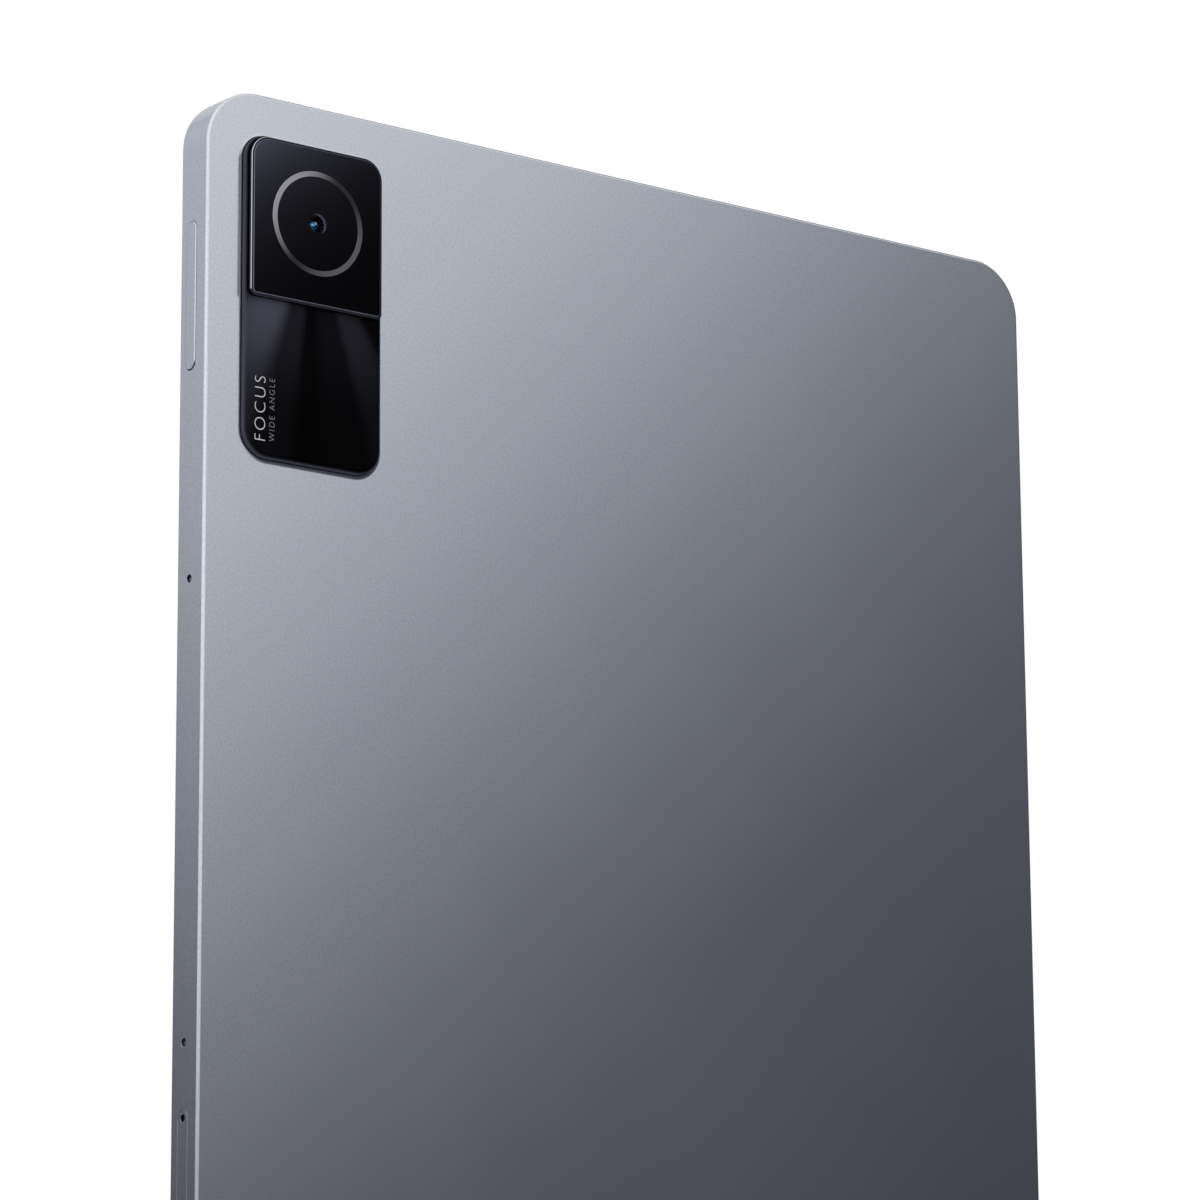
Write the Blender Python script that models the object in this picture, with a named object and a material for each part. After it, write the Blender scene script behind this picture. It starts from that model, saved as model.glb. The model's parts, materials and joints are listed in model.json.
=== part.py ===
"""A 10.6 inch tablet computer, built from the pieces that a bench would find in it.

The tablet stands on a short edge with its screen facing -Y and its back facing +Y.
The origin is the centre of the flat back face. Most places are given as three
distances: s, across from the long edge that carries the keys (+X); t, down from the
top edge (+Z); and depth, inwards from the back face (towards -Y, so that what stands
proud of the back has a negative depth).
"""

import math

import bmesh
import bpy
from mathutils import Vector

MM = 0.001

# ---------------------------------------------------------------- whole tablet
BODY_WIDTH = 157.98 * MM
BODY_HEIGHT = 250.38 * MM
BODY_THICKNESS = 7.05 * MM
BODY_CORNER = 8.7 * MM
GAP = 0.3 * MM  # clearance between two pieces that meet
PAST = 1.0 * MM  # how far a cutter reaches past what it cuts
PLATE_CORNER = 0.5 * MM  # corners of boards, boxes and ribbons
SMALLEST_CORNER = 0.2 * MM

# ---------------------------------------------------------------- rear cover
BACK_WALL = 0.8 * MM
SIDE_WALL = 2.6 * MM
RIM_LIP = 1.0 * MM  # width of the rim round the front glass
RIM_CHAMFER = 0.15 * MM
GLASS_PROUD = 0.4 * MM  # glass above the rim
EDGE_ROUND = 0.8 * MM  # rounding between the back and the sides
EDGE_STEPS = 4
CORNER_STEPS = 10
SLOT_STEPS = 5
LARGE_SIDES = 24  # sides of a circle, from the camera's opening down to a grille hole
BARREL_SIDES = 20
LENS_SIDES = 16
SMALL_SIDES = 12
TINY_SIDES = 10

# ---------------------------------------------------------------- display stack
GLASS_THICKNESS = 0.7 * MM
GLASS_BEVEL = 0.2 * MM
ADHESIVE_THICKNESS = 0.4 * MM
ADHESIVE_WIDTH = 1.3 * MM
PANEL_THICKNESS = 0.7 * MM
BACKLIGHT_THICKNESS = 0.9 * MM
BEZEL = 9.66 * MM  # body edge to the lit area
PANEL_BORDER = 2.1 * MM  # lit area to the panel's edge
PANEL_CORNER = 1.5 * MM
BACKLIGHT_BORDER = 2.4 * MM

# ---------------------------------------------------------------- camera island
ISLAND_FROM_EDGE = 6.15 * MM
ISLAND_FROM_TOP = 6.5 * MM
ISLAND_WIDTH = 24.0 * MM
ISLAND_HEIGHT = 48.65 * MM
ISLAND_TOP_CORNER = 3.6 * MM
ISLAND_BOTTOM_CORNER = 4.2 * MM
ISLAND_LIP_WIDTH = 0.42 * MM  # raised metal rim round the island
ISLAND_LIP_PROUD = 0.35 * MM
ISLAND_FLANGE = 0.9 * MM  # what the frame's flange laps over the cover, inside
ISLAND_FLANGE_THICKNESS = 0.5 * MM
FRAME_PROUD = 0.2 * MM
LOWER_PANEL_THICKNESS = 0.5 * MM
LOWER_PANEL_TOP_CORNER = 0.4 * MM
BEZEL_INSET = 0.4 * MM  # upper bezel inside the island's outline
BEZEL_HEIGHT = 24.4 * MM
BEZEL_PROUD = 1.85 * MM
BEZEL_LIP = 0.3 * MM
BEZEL_FLOOR = 0.55 * MM
BEZEL_LOW_CORNER = 0.9 * MM
CAMERA_GLASS_PROUD = 1.95 * MM
CAMERA_GLASS_THICKNESS = 0.6 * MM
PLATE_BEVEL = 0.15 * MM
RING_OUTER = 7.98 * MM
RING_INNER = 7.14 * MM
RING_THICKNESS = 0.25 * MM
LENS_FROM_TOP = 18.65 * MM

# ---------------------------------------------------------------- cameras
CAMERA_BODY = 9.0 * MM
BARREL_RADIUS = 3.2 * MM
BARREL_MOUTH = 2.0 * MM
BARREL_THROAT = 1.25 * MM
BARREL_RECESS = 0.8 * MM
LENS_RADIUS = 0.9 * MM
LENS_THICKNESS = 0.45 * MM
FRONT_CAMERA_BODY = 3.4 * MM
FRONT_CAMERA_DEPTH = 2.4 * MM
FRONT_LENS_RADIUS = 1.1 * MM
FRONT_LENS_HEIGHT = 0.4 * MM

# ---------------------------------------------------------------- keys
KEY_DEPTH = 3.9 * MM
KEY_WIDTH = 2.5 * MM
KEY_PROUD = 0.3 * MM
KEY_EDGE = 0.2 * MM
KEY_FLANGE = 0.5 * MM
KEY_FLANGE_LAP = 0.6 * MM
VOLUME_KEY_LENGTH = 22.4 * MM
VOLUME_KEY_FROM_TOP = 20.2 * MM
POWER_KEY_LENGTH = 10.4 * MM
POWER_KEY_FROM_EDGE = 17.0 * MM
SWITCH_STRIP = 0.4 * MM
SWITCH_DOME_RADIUS = 0.8 * MM
SWITCH_DOME_HEIGHT = 0.2 * MM
SWITCH_DOME_TOP = 0.6  # radius of a dome's top, as a share of its foot
SWITCH_CORNER = 0.4 * MM
SWITCH_OFFSET = 6.5 * MM  # volume switches either side of the key's middle

# ---------------------------------------------------------------- holes in the sides
MICROPHONE_HOLE = 0.6 * MM
MICROPHONE_DEPTH = 3.6 * MM
MICROPHONES_FROM_TOP = (73.65 * MM, 140.5 * MM)
MICROPHONE_LENGTH = 3.5 * MM
MICROPHONE_HEIGHT = 2.0 * MM
MICROPHONE_THICKNESS = 1.0 * MM
SEAL_THICKNESS = 0.6 * MM
GRILLE_HOLE = 0.6 * MM
GRILLE_PITCH = 2.2 * MM
GRILLE_COUNT = 8
GRILLE_DEPTH = 3.5 * MM

# ---------------------------------------------------------------- card tray
TRAY_FROM_TOP = 149.95 * MM
TRAY_PLATE_LENGTH = 17.0 * MM
TRAY_PLATE_WIDTH = 2.45 * MM
TRAY_PLATE_DEPTH = 3.67 * MM
TRAY_PLATE_THICKNESS = 1.2 * MM
TRAY_LENGTH = 17.0 * MM
TRAY_WIDTH = 12.4 * MM
TRAY_THICKNESS = 0.65 * MM
TRAY_RAIL = 0.7 * MM
TRAY_END_MARGIN = 0.9 * MM
PIN_HOLE = 0.55 * MM
SOCKET_SHEET = 0.3 * MM

# ---------------------------------------------------------------- boards
BOARD_THICKNESS = 0.6 * MM
BOSS_HEIGHT = 0.6 * MM
BOSS_RADIUS = 1.7 * MM
BOSS_HOLE = 0.8 * MM
BOSS_FLOOR = 0.5 * MM  # metal left under a boss's hole
BOARD_FROM_WALL = 1.4 * MM
MAINBOARD_WIDTH = 30.0 * MM
MAINBOARD_FROM_TOP = 60.0 * MM
MAINBOARD_HEIGHT = 122.0 * MM
SHIELD_MARGIN = 4.2 * MM
SHIELD_FAR_MARGIN = 1.0 * MM
SHIELD_FIRST = 6.5 * MM
SHIELD_HEIGHTS = {"processor": 26.0 * MM, "memory": 20.0 * MM, "radio": 22.0 * MM}
SHIELD_SPACING = 4.5 * MM
FLEX_THICKNESS = 0.2 * MM
CAMERA_FLEX_WIDTH = 7.0 * MM
CAMERA_FLEX_LAP = 4.0 * MM  # over the mainboard

# ---------------------------------------------------------------- screws
SCREW_HEAD_RADIUS = 1.1 * MM
SCREW_HEAD = 0.45 * MM
SCREW_SHANK_RADIUS = 0.5 * MM
SCREW_SOCKET_RADIUS = 0.4 * MM
SCREW_SOCKET = 0.25 * MM
SCREW_HOLE = 0.8 * MM  # in the board or the ear
SCREW_MARGIN = 2.8 * MM  # from a board's edge to a screw's middle
MAINBOARD_SECOND_SCREW = 36.0 * MM  # below the board's upper edge

# ---------------------------------------------------------------- speakers
SPEAKER_LENGTH = 30.0 * MM
SPEAKER_DEPTH = 13.0 * MM
SPEAKER_EAR = 4.4 * MM
SPEAKER_MESH = 0.2 * MM
SPEAKER_MESH_LAP = 0.4 * MM  # past the grille's holes
SPEAKER_FROM_EDGE = 8.0 * MM

# ---------------------------------------------------------------- USB-C socket
USB_WIDTH = 8.94 * MM
USB_HEIGHT = 3.16 * MM
USB_LENGTH = 6.3 * MM
USB_SHEET = 0.3 * MM
USB_BACK = 0.6 * MM
USB_INSET = 0.5 * MM  # socket's mouth behind the edge of the tablet
USB_DEPTH = 3.55 * MM
USB_TONGUE_WIDTH = 6.65 * MM
USB_TONGUE_THICKNESS = 0.7 * MM
USB_TONGUE_INSET = 0.8 * MM
USB_TONGUE_CORNER = 0.1 * MM
USB_BOARD_WIDTH = 34.0 * MM
USB_BOARD_HEIGHT = 10.6 * MM
USB_SCREW_SPACING = 27.0 * MM
USB_SCREW_FROM_BOTTOM = 10.5 * MM

# ---------------------------------------------------------------- battery and the rest
BATTERY_CLEARANCE = 1.5 * MM
BATTERY_FROM_TOP = 38.0 * MM
BATTERY_FROM_BOTTOM = 52.0 * MM
BATTERY_CORNER = 2.0 * MM
CELL_SPACING = 1.0 * MM
BATTERY_BOARD_WIDTH = 4.0 * MM
BATTERY_BOARD_LENGTH = 60.0 * MM
BATTERY_BOARD_THICKNESS = 1.2 * MM
BATTERY_BOARD_FROM_TOP = 95.0 * MM
BATTERY_PLUG_WIDTH = 5.0 * MM
BATTERY_PLUG_LENGTH = 9.0 * MM
BATTERY_PLUG_FROM_TOP = 144.5 * MM
BATTERY_PLUG_HEIGHT = 0.9 * MM
DISPLAY_BOARD_WIDTH = 66.0 * MM
DISPLAY_BOARD_HEIGHT = 12.0 * MM
DISPLAY_BOARD_FROM_BOTTOM = 21.0 * MM
MAIN_FLEX_WIDTH = 6.0 * MM
MAIN_FLEX_ACROSS = 3.0 * MM
MAIN_FLEX_LAP = 6.0 * MM
ANTENNA_WIDTH = 3.4 * MM
ANTENNA_LENGTH = 40.0 * MM
ANTENNAS_FROM_TOP = (44.0 * MM, 120.0 * MM)

# ---------------------------------------------------------------- depths that follow
RIM_DEPTH = BODY_THICKNESS - GLASS_PROUD
GLASS_BACK = BODY_THICKNESS - GLASS_THICKNESS
ADHESIVE_FRONT = GLASS_BACK - GAP
ADHESIVE_BACK = ADHESIVE_FRONT - ADHESIVE_THICKNESS
LEDGE_DEPTH = ADHESIVE_BACK - GAP
PANEL_FRONT = GLASS_BACK - GAP
PANEL_BACK = PANEL_FRONT - PANEL_THICKNESS
BACKLIGHT_FRONT = PANEL_BACK - GAP
BACKLIGHT_BACK = BACKLIGHT_FRONT - BACKLIGHT_THICKNESS
INNER_BACK = BACK_WALL + GAP  # what lies on the cover's floor starts here
INNER_FRONT = BACKLIGHT_BACK - GAP  # and what lies under the display ends here
BOSS_TOP = BACK_WALL + BOSS_HEIGHT
BOARD_BACK = BOSS_TOP + GAP
BOARD_FRONT = BOARD_BACK + BOARD_THICKNESS
ON_BOARD = BOARD_FRONT + GAP
SCREW_HOLE_ENDS = ((SCREW_HOLE, BOARD_BACK - GAP), (SCREW_HOLE, ON_BOARD))
WALL_FACE = SIDE_WALL + GAP  # first place behind a side wall
PANEL_EDGE = BEZEL - PANEL_BORDER
BACKLIGHT_EDGE = BEZEL - BACKLIGHT_BORDER
BOARD_EDGE = SIDE_WALL + BOARD_FROM_WALL
BOARD_END = BOARD_EDGE + MAINBOARD_WIDTH
LENS_FROM_EDGE = ISLAND_FROM_EDGE + ISLAND_WIDTH / 2
PLATE_BOTTOM = FRAME_PROUD + GAP  # island plates start this far above the back
SPEAKER_BACK_EDGE = WALL_FACE + SPEAKER_MESH + GAP
SOCKET_BACK = BOARD_BACK + GAP  # the card socket stands in a notch of the mainboard
TRAY_BACK = SOCKET_BACK + SOCKET_SHEET + GAP
TRAY_FRONT = TRAY_BACK + TRAY_THICKNESS
SOCKET_FRONT = TRAY_FRONT + GAP + SOCKET_SHEET
TRAY_LOW = TRAY_FROM_TOP + TRAY_PLATE_LENGTH - TRAY_END_MARGIN
TRAY_HIGH = TRAY_LOW - TRAY_WIDTH


# ================================================================ places
def x_at(s):
    """World X of a distance s from the edge with the keys."""
    return BODY_WIDTH / 2 - s


def z_at(t):
    """World Z of a distance t below the top edge."""
    return BODY_HEIGHT / 2 - t


def from_bottom(distance):
    """The t of a place this far above the bottom edge."""
    return BODY_HEIGHT - distance


def from_far_edge(distance):
    """The s of a place this far from the long edge without keys."""
    return BODY_WIDTH - distance


def facing_back(u, v, w):
    """Outline in X and Z, carried along the depth w."""
    return Vector((u, -w, v))


def facing_side(u, v, w):
    """Outline in Z and depth, carried along X."""
    return Vector((w, -v, u))


def facing_top(u, v, w):
    """Outline in X and depth, carried along Z."""
    return Vector((u, -v, w))


# ================================================================ outlines
def rounded_rectangle(centre, size, radii, steps):
    """Points round a rectangle whose corners (+u+v, -u+v, -u-v, +u-v) are arcs."""
    if not isinstance(radii, tuple):
        radii = (radii,) * 4
    limit = min(size) / 2
    points = []
    for corner, radius in enumerate(radii):
        radius = min(radius, limit * 0.999)
        side_u = 1 if corner in (0, 3) else -1
        side_v = 1 if corner in (0, 1) else -1
        middle_u = centre[0] + side_u * (size[0] / 2 - radius)
        middle_v = centre[1] + side_v * (size[1] / 2 - radius)
        for step in range(steps + 1):
            angle = math.pi / 2 * (corner + step / steps)
            points.append((middle_u + radius * math.cos(angle), middle_v + radius * math.sin(angle)))
    return points


def inset_rectangle(centre, size, radii, inset, steps):
    """A rounded rectangle drawn in by inset on every side, its corners with it."""
    if not isinstance(radii, tuple):
        radii = (radii,) * 4
    inner = tuple(max(radius - inset, SMALLEST_CORNER) for radius in radii)
    return rounded_rectangle(centre, (size[0] - 2 * inset, size[1] - 2 * inset), inner, steps)


def circle(centre, radius, sides):
    """Points round a circle."""
    turn = 2 * math.pi / sides
    return [(centre[0] + radius * math.cos(turn * k), centre[1] + radius * math.sin(turn * k))
            for k in range(sides)]


def rectangle(low, high):
    """The four corners between two points."""
    return [(low[0], low[1]), (high[0], low[1]), (high[0], high[1]), (low[0], high[1])]


# ================================================================ solids
def loft(mesh, rings):
    """Skins rings of equal length one after the other and caps both ends."""
    rows = [[mesh.verts.new(point) for point in ring] for ring in rings]
    count = len(rows[0])
    faces = [mesh.faces.new(rows[0]), mesh.faces.new(rows[-1])]
    for lower, upper in zip(rows, rows[1:]):
        for k in range(count):
            n = (k + 1) % count
            faces.append(mesh.faces.new((lower[k], lower[n], upper[n], upper[k])))
    bmesh.ops.recalc_face_normals(mesh, faces=faces)
    return mesh


def prism(mesh, outline, low, high, facing):
    """Carries an outline straight from low to high."""
    return loft(mesh, [[facing(u, v, w) for u, v in outline] for w in (low, high)])


def plate(s, t, depth, radii=PLATE_CORNER, steps=3):
    """A plate parallel to the screen between two values each of s, t and depth."""
    centre = (x_at(sum(s) / 2), z_at(sum(t) / 2))
    outline = rounded_rectangle(centre, (s[1] - s[0], t[1] - t[0]), radii, steps)
    return prism(bmesh.new(), outline, depth[0], depth[1], facing_back)


def block(s, t, depth, mesh=None):
    """A plain block between two values each of s, t and depth."""
    mesh = mesh or bmesh.new()
    outline = rectangle((x_at(s[1]), z_at(t[1])), (x_at(s[0]), z_at(t[0])))
    return prism(mesh, outline, depth[0], depth[1], facing_back)


def turned(mesh, centre, profile, sides):
    """A round solid on a depth axis: profile is (radius, depth) pairs, end to end."""
    return loft(mesh, [[facing_back(u, v, depth) for u, v in circle(centre, radius, sides)]
                       for radius, depth in profile])


def material(name, colour, roughness, metallic=0.0, alpha=1.0):
    """A Principled BSDF of one colour."""
    made = bpy.data.materials.new(name)
    made.use_nodes = True
    shader = made.node_tree.nodes["Principled BSDF"]
    shader.inputs["Base Color"].default_value = (*colour, 1.0)
    shader.inputs["Roughness"].default_value = roughness
    shader.inputs["Metallic"].default_value = metallic
    shader.inputs["Alpha"].default_value = alpha
    return made


def piece(name, mesh, finish, pivot=None):
    """Turns a mesh into a named object, its origin at the pivot or at its middle."""
    corners = [vertex.co for vertex in mesh.verts]
    if pivot is None:
        low = Vector([min(co[axis] for co in corners) for axis in range(3)])
        high = Vector([max(co[axis] for co in corners) for axis in range(3)])
        pivot = (low + high) / 2
    bmesh.ops.translate(mesh, verts=mesh.verts, vec=-pivot)
    data = bpy.data.meshes.new(name)
    mesh.to_mesh(data)
    mesh.free()
    data.materials.append(finish)
    data.shade_smooth()
    data.set_sharp_from_angle(angle=math.radians(35))
    made = bpy.data.objects.new(name, data)
    made.location = pivot
    bpy.context.collection.objects.link(made)
    made.parent = TABLET
    return made


def tool(name, mesh):
    """A shape that only cuts or joins another, and is not a piece itself."""
    made = piece(name, mesh, TOOL_FINISH)
    made.hide_render = True
    made.display_type = "WIRE"
    return made


def boolean(target, mesh, operation):
    """Cuts a mesh out of an object, or joins it on."""
    change = target.modifiers.new(operation.lower(), "BOOLEAN")
    change.operation = operation
    change.solver = "EXACT"
    change.object = tool(f"{target.name}_{operation.lower()}", mesh)
    return target


def cut(target, mesh):
    return boolean(target, mesh, "DIFFERENCE")


def join(target, mesh):
    return boolean(target, mesh, "UNION")


# ================================================================ rear cover
def body_outline(inset):
    return inset_rectangle((0, 0), (BODY_WIDTH, BODY_HEIGHT), BODY_CORNER, inset, CORNER_STEPS)


def island_outline(inset=0.0, steps=6):
    """Outline of the camera island, square-set with the tablet's edges."""
    centre = (x_at(LENS_FROM_EDGE), z_at(ISLAND_FROM_TOP + ISLAND_HEIGHT / 2))
    radii = (ISLAND_TOP_CORNER, ISLAND_TOP_CORNER, ISLAND_BOTTOM_CORNER, ISLAND_BOTTOM_CORNER)
    return inset_rectangle(centre, (ISLAND_WIDTH, ISLAND_HEIGHT), radii, inset, steps)


def screw_places():
    """Name, s and t of every screw."""
    board_low = MAINBOARD_FROM_TOP + MAINBOARD_HEIGHT
    places = [
        ("mainboard_screw_1", BOARD_END - SCREW_MARGIN, MAINBOARD_FROM_TOP + SCREW_MARGIN),
        ("mainboard_screw_2", BOARD_EDGE + SCREW_MARGIN, MAINBOARD_FROM_TOP + MAINBOARD_SECOND_SCREW),
        ("mainboard_screw_3", BOARD_EDGE + SCREW_MARGIN, board_low - SCREW_MARGIN),
    ]
    for side, number in ((-1, 1), (1, 2)):
        s = BODY_WIDTH / 2 + side * USB_SCREW_SPACING / 2
        places.append((f"usb_board_screw_{number}", s, from_bottom(USB_SCREW_FROM_BOTTOM)))
    for name, low, at_top, ear_side in speaker_places():
        s = low + SPEAKER_LENGTH + SPEAKER_EAR / 2 if ear_side > 0 else low - SPEAKER_EAR / 2
        middle = SPEAKER_BACK_EDGE + SPEAKER_DEPTH / 2
        places.append((f"{name}_screw", s, middle if at_top else from_bottom(middle)))
    return places


def speaker_places():
    """Name, lowest s of the box, whether it is at the top, and the side of its ear."""
    beside_island = ISLAND_FROM_EDGE + ISLAND_WIDTH + ISLAND_FLANGE + 2 * GAP + SPEAKER_EAR
    far = from_far_edge(SPEAKER_FROM_EDGE + SPEAKER_LENGTH)
    return [
        ("speaker_top_1", beside_island, True, 1),
        ("speaker_top_2", far, True, -1),
        ("speaker_bottom_1", SPEAKER_FROM_EDGE, False, 1),
        ("speaker_bottom_2", far, False, -1),
    ]


def edge_slot(mesh, facing, ends, place, depth, size):
    """A round-ended slot through a side: its centre and size, with clearance for what fills it."""
    outline = rounded_rectangle((place, depth), (size[0] + 2 * GAP, size[1] + 2 * GAP),
                                size[1] / 2 + GAP, SLOT_STEPS)
    return prism(mesh, outline, *ends, facing)


def rear_cover(finish):
    """The metal shell: back, sides, ledge for the glass, bosses and every hole."""
    rings = []
    for step in range(EDGE_STEPS + 1):
        angle = math.pi / 2 * step / EDGE_STEPS
        inset = EDGE_ROUND * (1 - math.sin(angle))
        rings.append((inset, EDGE_ROUND * (1 - math.cos(angle))))
    rings += [
        (0.0, RIM_DEPTH - RIM_CHAMFER),
        (RIM_CHAMFER, RIM_DEPTH),
        (RIM_LIP, RIM_DEPTH),
        (RIM_LIP, LEDGE_DEPTH),
        (SIDE_WALL, LEDGE_DEPTH),
        (SIDE_WALL, BACK_WALL),
    ]
    shell = bmesh.new()
    loft(shell, [[facing_back(u, v, depth) for u, v in body_outline(inset)] for inset, depth in rings])
    cover = piece("rear_cover", shell, finish)

    added = bmesh.new()
    lip_slope = ISLAND_LIP_PROUD / 2
    outer = -(GAP + ISLAND_LIP_WIDTH)
    lip = ((outer, BACK_WALL / 2), (outer, 0.0), (outer + lip_slope, -ISLAND_LIP_PROUD))
    loft(added, [[facing_back(u, v, depth) for u, v in island_outline(inset)] for inset, depth in lip])
    for _, s, t in screw_places():
        turned(added, (x_at(s), z_at(t)), ((BOSS_RADIUS, BOSS_FLOOR), (BOSS_RADIUS, BOSS_TOP)), SMALL_SIDES)
    join(cover, added)

    side = (x_at(SIDE_WALL) - PAST, BODY_WIDTH / 2 + PAST)
    top = (z_at(SIDE_WALL) - PAST, BODY_HEIGHT / 2 + PAST)
    bottom = (-top[1], -top[0])
    cutters = bmesh.new()
    prism(cutters, island_outline(-GAP), -PAST, BACK_WALL + PAST / 2, facing_back)
    for _, s, t in screw_places():
        turned(cutters, (x_at(s), z_at(t)), ((BOSS_HOLE, BOSS_FLOOR), (BOSS_HOLE, BOSS_TOP + PAST / 2)), 8)
    edge_slot(cutters, facing_side, side, volume_key_middle()[2], KEY_DEPTH, (VOLUME_KEY_LENGTH, KEY_WIDTH))
    edge_slot(cutters, facing_top, top, x_at(POWER_KEY_FROM_EDGE), KEY_DEPTH, (POWER_KEY_LENGTH, KEY_WIDTH))
    edge_slot(cutters, facing_side, side, z_at(TRAY_FROM_TOP + TRAY_PLATE_LENGTH / 2), TRAY_PLATE_DEPTH,
              (TRAY_PLATE_LENGTH, TRAY_PLATE_WIDTH))
    edge_slot(cutters, facing_top, bottom, 0, USB_DEPTH, (USB_WIDTH, USB_HEIGHT))
    for t in MICROPHONES_FROM_TOP:
        prism(cutters, circle((z_at(t), MICROPHONE_DEPTH), MICROPHONE_HOLE, SMALL_SIDES), *side, facing_side)
    for _, low, at_top, _ in speaker_places():
        middle = x_at(low + SPEAKER_LENGTH / 2)
        ends = top if at_top else bottom
        for k in range(GRILLE_COUNT):
            x = middle + GRILLE_PITCH * (k - (GRILLE_COUNT - 1) / 2)
            prism(cutters, circle((x, GRILLE_DEPTH), GRILLE_HOLE, TINY_SIDES), *ends, facing_top)
    return cut(cover, cutters)


# ================================================================ display
def framed_plate(inset, back, front, bevel=0.0):
    """A plate that follows the tablet's outline, with a bevel at its front."""
    rings = [(inset, back), (inset, front - bevel), (inset + bevel, front)]
    if not bevel:
        rings.pop()
    mesh = bmesh.new()
    return loft(mesh, [[facing_back(u, v, depth) for u, v in body_outline(edge)] for edge, depth in rings])


def display(finishes):
    glass_edge = RIM_LIP + GAP
    piece("cover_glass", framed_plate(glass_edge, GLASS_BACK, BODY_THICKNESS, GLASS_BEVEL),
          finishes["cover_glass"])
    adhesive = piece("display_adhesive", framed_plate(glass_edge, ADHESIVE_BACK, ADHESIVE_FRONT),
                     finishes["adhesive"])
    cut(adhesive, framed_plate(glass_edge + ADHESIVE_WIDTH, ADHESIVE_BACK - GAP, ADHESIVE_FRONT + GAP))
    for name, edge, back, front in (("lcd_panel", PANEL_EDGE, PANEL_BACK, PANEL_FRONT),
                                    ("backlight", BACKLIGHT_EDGE, BACKLIGHT_BACK, BACKLIGHT_FRONT)):
        mesh = plate((edge, from_far_edge(edge)), (edge, from_bottom(edge)), (back, front), PANEL_CORNER)
        piece(name, mesh, finishes[name])
    low = from_bottom(DISPLAY_BOARD_FROM_BOTTOM + DISPLAY_BOARD_HEIGHT)
    middle = BODY_WIDTH / 2
    piece("display_board",
          plate((middle - DISPLAY_BOARD_WIDTH / 2, middle + DISPLAY_BOARD_WIDTH / 2),
                (low, low + DISPLAY_BOARD_HEIGHT), (BOARD_BACK, BOARD_FRONT)),
          finishes["board"])


# ================================================================ camera island
def bezel_outline(inset):
    """Outline of the raised upper part of the island, and of what lies in it."""
    size = (ISLAND_WIDTH - 2 * BEZEL_INSET, BEZEL_HEIGHT)
    centre = (x_at(LENS_FROM_EDGE), z_at(ISLAND_FROM_TOP + BEZEL_INSET + BEZEL_HEIGHT / 2))
    top = ISLAND_TOP_CORNER - BEZEL_INSET
    return inset_rectangle(centre, size, (top, top, BEZEL_LOW_CORNER, BEZEL_LOW_CORNER), inset, 6)


def lower_panel_outline(inset):
    """Outline of the glossy plate that fills the island below the bezel."""
    high = ISLAND_FROM_TOP + BEZEL_INSET + BEZEL_HEIGHT + GAP
    low = ISLAND_FROM_TOP + ISLAND_HEIGHT
    centre = (x_at(LENS_FROM_EDGE), z_at((high + low) / 2))
    radii = (LOWER_PANEL_TOP_CORNER, LOWER_PANEL_TOP_CORNER, ISLAND_BOTTOM_CORNER, ISLAND_BOTTOM_CORNER)
    return inset_rectangle(centre, (ISLAND_WIDTH, low - high), radii, inset, 6)


def stacked(outline, profile):
    """Lofts one outline through (inset, depth) pairs."""
    mesh = bmesh.new()
    return loft(mesh, [[facing_back(u, v, depth) for u, v in outline(inset)] for inset, depth in profile])


def camera_island(finishes):
    lens = (x_at(LENS_FROM_EDGE), z_at(LENS_FROM_TOP))
    flange = -(GAP + ISLAND_FLANGE)
    flange_top = INNER_BACK + ISLAND_FLANGE_THICKNESS
    frame = piece("camera_frame", stacked(island_outline, (
        (0.0, -FRAME_PROUD), (0.0, INNER_BACK), (flange, INNER_BACK), (flange, flange_top))),
        finishes["black_plastic"])
    hole = BARREL_RADIUS + GAP
    cut(frame, turned(bmesh.new(), lens, ((hole, -PAST), (hole, flange_top + PAST)), LARGE_SIDES))

    top = PLATE_BOTTOM + LOWER_PANEL_THICKNESS
    piece("camera_lower_panel", stacked(lower_panel_outline, (
        (0.0, -PLATE_BOTTOM), (0.0, PLATE_BEVEL - top), (PLATE_BEVEL, -top))), finishes["gloss_black"])

    floor = PLATE_BOTTOM + BEZEL_FLOOR
    edge = BEZEL_LIP / 3
    bezel = piece("camera_bezel", stacked(bezel_outline, (
        (0.0, -PLATE_BOTTOM), (0.0, edge - BEZEL_PROUD), (edge, -BEZEL_PROUD),
        (BEZEL_LIP, -BEZEL_PROUD), (BEZEL_LIP, -floor))), finishes["gloss_black"])
    cut(bezel, turned(bmesh.new(), lens, ((hole, 0.0), (hole, -BEZEL_PROUD)), LARGE_SIDES))

    glass_edge = BEZEL_LIP + GAP
    glass_back = CAMERA_GLASS_THICKNESS - CAMERA_GLASS_PROUD
    glass = piece("camera_glass", stacked(bezel_outline, (
        (glass_edge, glass_back), (glass_edge, PLATE_BEVEL - CAMERA_GLASS_PROUD),
        (glass_edge + PLATE_BEVEL, -CAMERA_GLASS_PROUD))), finishes["camera_glass"])
    groove = bmesh.new()
    inner, outer = RING_INNER - GAP, RING_OUTER + GAP
    groove_floor = GAP + RING_THICKNESS - CAMERA_GLASS_PROUD
    ring_solid(groove, lens, inner, outer, -CAMERA_GLASS_PROUD - PAST, groove_floor)
    cut(glass, groove)
    ring = bmesh.new()
    ring_solid(ring, lens, RING_INNER, RING_OUTER, -CAMERA_GLASS_PROUD, RING_THICKNESS - CAMERA_GLASS_PROUD)
    piece("camera_ring", ring, finishes["ring"])


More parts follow.
